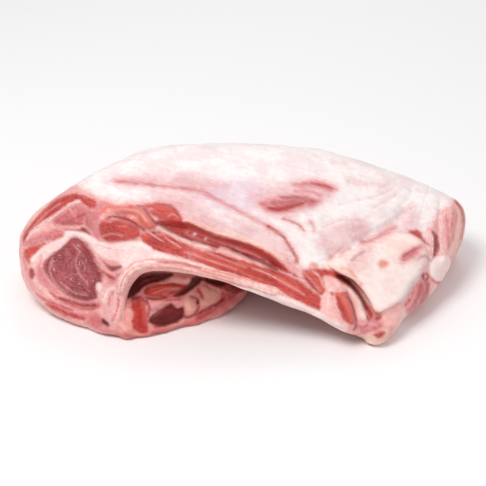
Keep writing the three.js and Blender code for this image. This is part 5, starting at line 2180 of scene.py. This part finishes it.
PATCHES = (
    Patch("cut_face", (
        (-182, 60), (-180, 96), (-146, 116), (-112, 120), (-84, 112), (-62, 106), (-40, 98),
        (-16, 88), (12, 76), (40, 58), (60, 50), (68, 36), (66, 14), (52, 14), (20, 24),
        (-25, 40), (-60, 46), (-76, 40), (-80, 8), (-88, -12), (-130, -8), (-172, 16),
    ), Grid((-172, -6, -80), (72, 122, 26), (0.95, 0.95, 0.95))),
    Patch("breast_end", (
        (54, 60), (72, 56), (90, 44), (102, 38), (124, 34), (128, 20), (112, -8), (80, -12),
        (54, 4), (50, 30),
    ), Grid((48, -6, -44), (130, 64, 30), (0.9, 0.9, 0.9))),
    Patch("shank_end", (
        (118, 30), (122, 60), (130, 84), (140, 110), (152, 126), (174, 126), (186, 96),
        (182, 56), (146, 16), (122, 12),
    ), Grid((114, 12, -92), (178, 124, 14), (0.95, 0.95, 0.95))),
)


@dataclass
class Meat:
    """The meat: the whole joint, with finer slabs let into its front.

    Attributes:
        joint: The joint's form.
        grid: Cells of the whole joint.
        swells: Unevenness of the whole joint.
        fine: Unevenness of the slabs.
    """

    joint: Joint = field(default_factory=Joint)
    grid: Grid = Grid((-176, -12, -216), (178, 162, 26), (1.5, 1.5, 1.7))
    swells: tuple[Bump, ...] = (Bump(11, 42, 1.2), Bump(12, 15, 0.6), Bump(13, 6, 0.3))

    def build(self) -> None:
        """Mesh, dress and place the meat."""
        body = Net.of_field(self.joint.value(self.grid, PATCHES), self.grid)
        self.place("meat_body", body, MeatFinish("fat_and_lean").material(), "meat")
        finishes = {
            "cut_face": MeatFinish("cut_muscle", fibre=(5e-3, 1.1e-3)),
            "breast_end": MeatFinish("breast_muscle", grain=(0.5, -0.85, 0.1)),
            "shank_end": MeatFinish("shank_muscle", grain=(0.2, 0.95, -0.2)),
        }
        for i, patch in enumerate(PATCHES):
            net = Net.of_field(self.joint.value(patch.grid, PATCHES[:i], patch), patch.grid)
            self.place(patch.name, net, finishes[patch.name].material())

    def place(self, name: str, net: Net, material: bpy.types.Material, *nodes: str) -> None:
        """Smooth and roughen a net and make it a piece."""
        net = net.smoothed(2).roughened(self.swells)
        net = BACK.raised(net)
        marks = front_paint(net)
        line_hollow(net, self.joint.hollow, marks)
        keep(make_object(name, SKETCH.to_metres(net.points), net.quads, marks, material), MEAT, *nodes)


@dataclass
class FatFlap:
    """The thick flap of fat that hangs over the breast end, with a free lip below.

    Attributes:
        grid: Its cells.
        rise: Thickness over the meat at the lip.
        root: How far it is let into the meat.
        edge_round: Rounding of its edge.
        hinge: Two points of the line where it grows out of the cap.
        run: Distance from there over which it comes to its thickness.
    """

    grid: Grid = Grid((50, 14, -50), (146, 92, 36), (0.9, 0.9, 0.9))
    rise: float = 6.5
    root: float = 4.0
    edge_round: float = 4.0
    hinge: tuple[Point2, Point2] = ((58, 62), (112, 83))
    run: float = 18.0

    def build(self) -> None:
        """Mesh, dress and place the flap."""
        at = self.grid.columns()
        outline = next(form for form in FRONT_FORMS if form.name == FLAP)
        region = outline.distance(at)[..., None]
        (au, av), (bu, bv) = self.hinge
        below = av + (at[..., 0] - au) * (bv - av) / (bu - au) - at[..., 1]
        base = FRONT.height(at, (FLAP, "slit under the flap"))
        top = base + self.rise * ramp(below, -4, self.run)
        slope = Joint.steepness(self.grid)[..., None]
        w = self.grid.axes()[2]
        solid = round_max(region, (w - top[..., None]) / slope, self.edge_round)
        solid = round_max(solid, (base[..., None] - self.root - w) / slope, 2.0)
        net = Net.of_field(solid, self.grid).smoothed(2).roughened((Bump(21, 18, 0.7), Bump(22, 7, 0.3)))
        finish = MeatFinish("flap_fat", fat=(srgb(252, 236, 230), srgb(246, 214, 206)))
        keep(make_object("fat_flap", SKETCH.to_metres(net.points), net.quads, front_paint(net),
                         finish.material()), MEAT)


@dataclass
class Chest:
    """The chest wall under the arch."""

    wall: ChestWall = field(default_factory=ChestWall)
    grid: Grid = Grid((-104, -7, -78), (8, 74, 12), (0.9, 0.9, 0.9))

    def build(self) -> None:
        """Mesh, dress and place the wall."""
        net = Net.of_field(self.wall.value(self.grid), self.grid)
        net = net.smoothed(2).roughened((Bump(31, 16, 1.2), Bump(32, 7, 0.8), Bump(33, 3.5, 0.25)))
        # painted shade: the wall lies under the arch, so all its colours are darkened
        finish = MeatFinish("chest_lean", grain=(0.8, 0.5, 0.0), fat=CUT_FAT, shade_tint=srgb(242, 212, 208),
                            coat=0.06, ior=1.22)
        keep(make_object("chest_wall", SKETCH.to_metres(net.points), net.quads, wall_paint(net),
                         finish.material()), MEAT)


@dataclass
class Bones:
    """The cut bones that show: a rib on the arch, the backbone and the breast bone."""

    joint: Joint = field(default_factory=Joint)
    proud: float = 0.35
    uneven: float = 1.6
    rib_path: tuple[Point3, ...] = (
        (-88, 36, 0), (-86.5, 44, 3.5), (-82.5, 51, 6), (-75, 56.5, 7.5), (-64, 58.5, 8.5), (-45, 57, 9.5),
        (-30, 53.5, 10), (-2, 46, 10.5), (30, 36, 10.5),
    )
    rib_radius: float = 3.5
    backbone_path: tuple[Point3, ...] = (
        (-99, 31, 14), (-98, 43, -30), (-96, 70, -80), (-95, 98, -130), (-94, 126, -184),
    )
    backbone_size: Point2 = (9.5, 11)
    breast_path: tuple[Point3, ...] = ((93, 7.5, 14), (98, 11, 2), (104, 17, -12), (110, 26, -30))
    breast_size: Point2 = (8, 7)
    rib_core: Stroke = Stroke("marrow of the rib", None, [(-60, 59.5), (-45, 58.5), (-30, 55)], width=0.7)

    def build(self) -> None:
        """Mesh, dress and place the bones."""
        finish = BoneFinish("cut_bone").material()
        face = MeatFinish("bone_face", fat=CUT_FAT).material()
        self.bar("backbone", self.backbone_path, self.backbone_size,
                 Grid((-116, 12, -196), (-80, 140, 16), (1.0, 1.0, 1.6)), face)
        self.bar("breast_bone", self.breast_path, self.breast_size,
                 Grid((82, -4, -40), (124, 36, 20), (0.8, 0.8, 0.8)), face)
        tool = sweep_tool(finish)
        path = SKETCH.to_metres(smooth_line(self.rib_path, False))
        source = path_object("rib_path", [path], [self.rib_radius * UNIT])
        rib = tool.apply(source, "rib", {"Step": 1.2e-3, "Sides": 24, "Unevenness": 0.1, "Taper": 0.05})
        self.mark(rib, "core", self.rib_core)
        self.mark(rib, "side", Stroke("middle of the rib", None, [point[:2] for point in self.rib_path], width=0))
        keep(rib, BONE, "rib_bone")

    def bar(self, name: str, path: Sequence[Point3], size: Point2, grid: Grid,
            face: bpy.types.Material) -> None:
        """Make a bone whose ends are cut flush with the meat.

        Args:
            name: The CAD node that it stands for.
            path: Line that it follows, back from the cut.
            size: Half its width along u and v.
            grid: The cells that hold it.
            face: Material of its face.
        """
        line = smooth_line(path, False)
        places = grid.places()
        w = places[..., 2]
        order = np.argsort(line[:, 2])
        middle = [np.interp(w, line[order, 2], line[order, k]) for k in (0, 1)]
        away = np.sqrt(sum(((places[..., k] - middle[k]) / size[k]) ** 2 for k in (0, 1)))
        tube = (away - 1) * min(size) + self.uneven * Turbulence(43).at(places, 8.0)
        ends = np.maximum(line[:, 2].min() - w, w - line[:, 2].max())
        solid = np.maximum(round_max(tube, self.joint.value(grid) - self.proud, 2.0), ends)
        net = Net.of_field(solid, grid).smoothed(2).roughened((Bump(41, 9, 0.4), Bump(42, 4, 0.3)))
        piece = make_object(name + "_cut", SKETCH.to_metres(net.points), net.quads, front_paint(net), face)
        keep(piece, BONE, name)

    @staticmethod
    def mark(piece: bpy.types.Object, name: str, mark: Mark) -> None:
        """Keep each vertex's distance to a mark as an attribute."""
        mesh = piece.data
        places = np.empty(3 * len(mesh.vertices), np.float32)
        mesh.vertices.foreach_get("co", places)
        at = SKETCH.from_metres(places.reshape(-1, 3).astype(float))
        layer = mesh.attributes.new(name, "FLOAT", "POINT")
        layer.data.foreach_set("value", np.clip(mark.distance(at[:, :2]), -FAR, FAR).astype(np.float32))


@dataclass
class Sinews:
    """Threads of sinew and membrane that stand on the cut surfaces.

    Attributes:
        threads: Names of the strokes that carry one, with its thickness.
        lift: How far a thread's middle stands over the surface.
    """

    threads: tuple[tuple[str, float], ...] = (
        ("seam inside the outer band", 0.4), ("thread over the fascia", 0.45),
        ("streak of the rib plate, left", 0.28), ("second streak of the rib plate, left", 0.22),
        ("streak of the rib plate, right", 0.3), ("seam beside the second muscle", 0.5),
        ("seam between the end muscles", 0.6),
    )
    lift: float = 0.1

    def build(self) -> None:
        """Sweep and place the threads."""
        strokes = {mark.name: mark for mark in FRONT_MARKS}
        paths = []
        for name, _ in self.threads:
            line = smooth_line(strokes[name].points, False, 6)
            height = FRONT.height(line, (FLAP,)) + self.lift
            paths.append(SKETCH.to_metres(np.column_stack([line, height])))
        source = path_object("threads", paths, [thickness * UNIT for _, thickness in self.threads])
        tool = sweep_tool(SinewFinish("sinew").material())
        keep(tool.apply(source, "sinews", {"Step": 0.9e-3, "Sides": 8, "Unevenness": 0.35, "Taper": 0.3}), MEAT)


@dataclass
class Marbling:
    """Flecks of fat in the cut muscles."""

    density: float = 9000.0
    length: float = 1.6e-3
    width: float = 0.16e-3
    seed: int = 7

    def build(self) -> None:
        """Scatter and place the flecks."""
        tool = fleck_tool(SinewFinish("marbling").material())
        source = bpy.data.objects["cut_face"].copy()
        bpy.context.scene.collection.objects.link(source)
        keep(tool.apply(source, "marbling_flecks", {
            "Density": self.density, "Seed": self.seed, "Length": self.length, "Width": self.width,
        }), MEAT)


# ---------------------------------------------------------------------- studio

@dataclass
class Studio:
    """Camera, soft lights and board.

    Attributes:
        target: Point at the middle of the picture.
        distance: Distance of the camera from it.
        elevation: Height of the camera's view, in radians.
        lens: Focal length, millimetres.
        lights: Name, place, side and power of each soft light.
        sky: Strength of the light from all round.
    """

    target: Point3 = (-0.00117, -0.00522, 0.0279)
    distance: float = 0.9342
    elevation: float = math.radians(28)
    lens: float = 100.0
    lights: tuple[tuple[str, Point3, float, float], ...] = (
        ("key", (-0.5, -0.5, 1.25), 0.6, 11.0),
        ("fill", (0.75, -0.9, 0.7), 0.9, 2.5),
        ("back", (0.15, 0.95, 1.0), 0.9, 3.5),
    )
    sky: float = 0.46
    floor_side: float = 3.0

    def build(self) -> None:
        """Set up the studio."""
        self.set_camera()
        for name, place, side, power in self.lights:
            self.add_light(name, place, side, power)
        world = bpy.data.worlds.new("soft_sky")
        world.use_nodes = True
        world.node_tree.nodes["Background"].inputs["Color"].default_value = (1, 1, 1, 1)
        world.node_tree.nodes["Background"].inputs["Strength"].default_value = self.sky
        bpy.context.scene.world = world
        bpy.context.scene.view_settings.view_transform = "Standard"
        self.add_floor()

    def set_camera(self) -> None:
        """Place the camera at the photograph's angle."""
        data = bpy.data.cameras.new("camera")
        data.lens = self.lens
        data.sensor_width = 36.0
        camera = bpy.data.objects.new("camera", data)
        back = Vector((0, -math.cos(self.elevation), math.sin(self.elevation)))
        camera.location = Vector(self.target) + back * self.distance
        camera.rotation_euler = back.to_track_quat("Z", "Y").to_euler()
        bpy.context.scene.collection.objects.link(camera)
        bpy.context.scene.camera = camera

    def add_light(self, name: str, place: Point3, side: float, power: float) -> None:
        """Add a square soft light that faces the joint."""
        data = bpy.data.lights.new(name, "AREA")
        data.shape = "SQUARE"
        data.size = side
        data.energy = power
        light = bpy.data.objects.new(name, data)
        light.location = place
        light.rotation_euler = (Vector(place) - Vector(self.target)).to_track_quat("Z", "Y").to_euler()
        bpy.context.scene.collection.objects.link(light)

    def add_floor(self) -> None:
        """Lay the pale board."""
        half = self.floor_side / 2
        corners = [(-half, -half, 0), (half, -half, 0), (half, half, 0), (-half, half, 0)]
        mesh = bpy.data.meshes.new("floor")
        mesh.from_pydata(corners, [], [(0, 1, 2, 3)])
        mesh.materials.append(FloorFinish().material())
        floor = bpy.data.objects.new("floor", mesh)
        bpy.context.scene.collection.objects.link(floor)


def main() -> None:
    """Build the joint and its studio."""
    logging.basicConfig(level=logging.INFO, format="%(name)s: %(message)s")
    Studio().build()
    for assembly in (Meat(), FatFlap(), Chest(), Bones(), Sinews(), Marbling()):
        LOG.info("building %s", type(assembly).__name__)
        assembly.build()


if __name__ == "__main__":
    main()
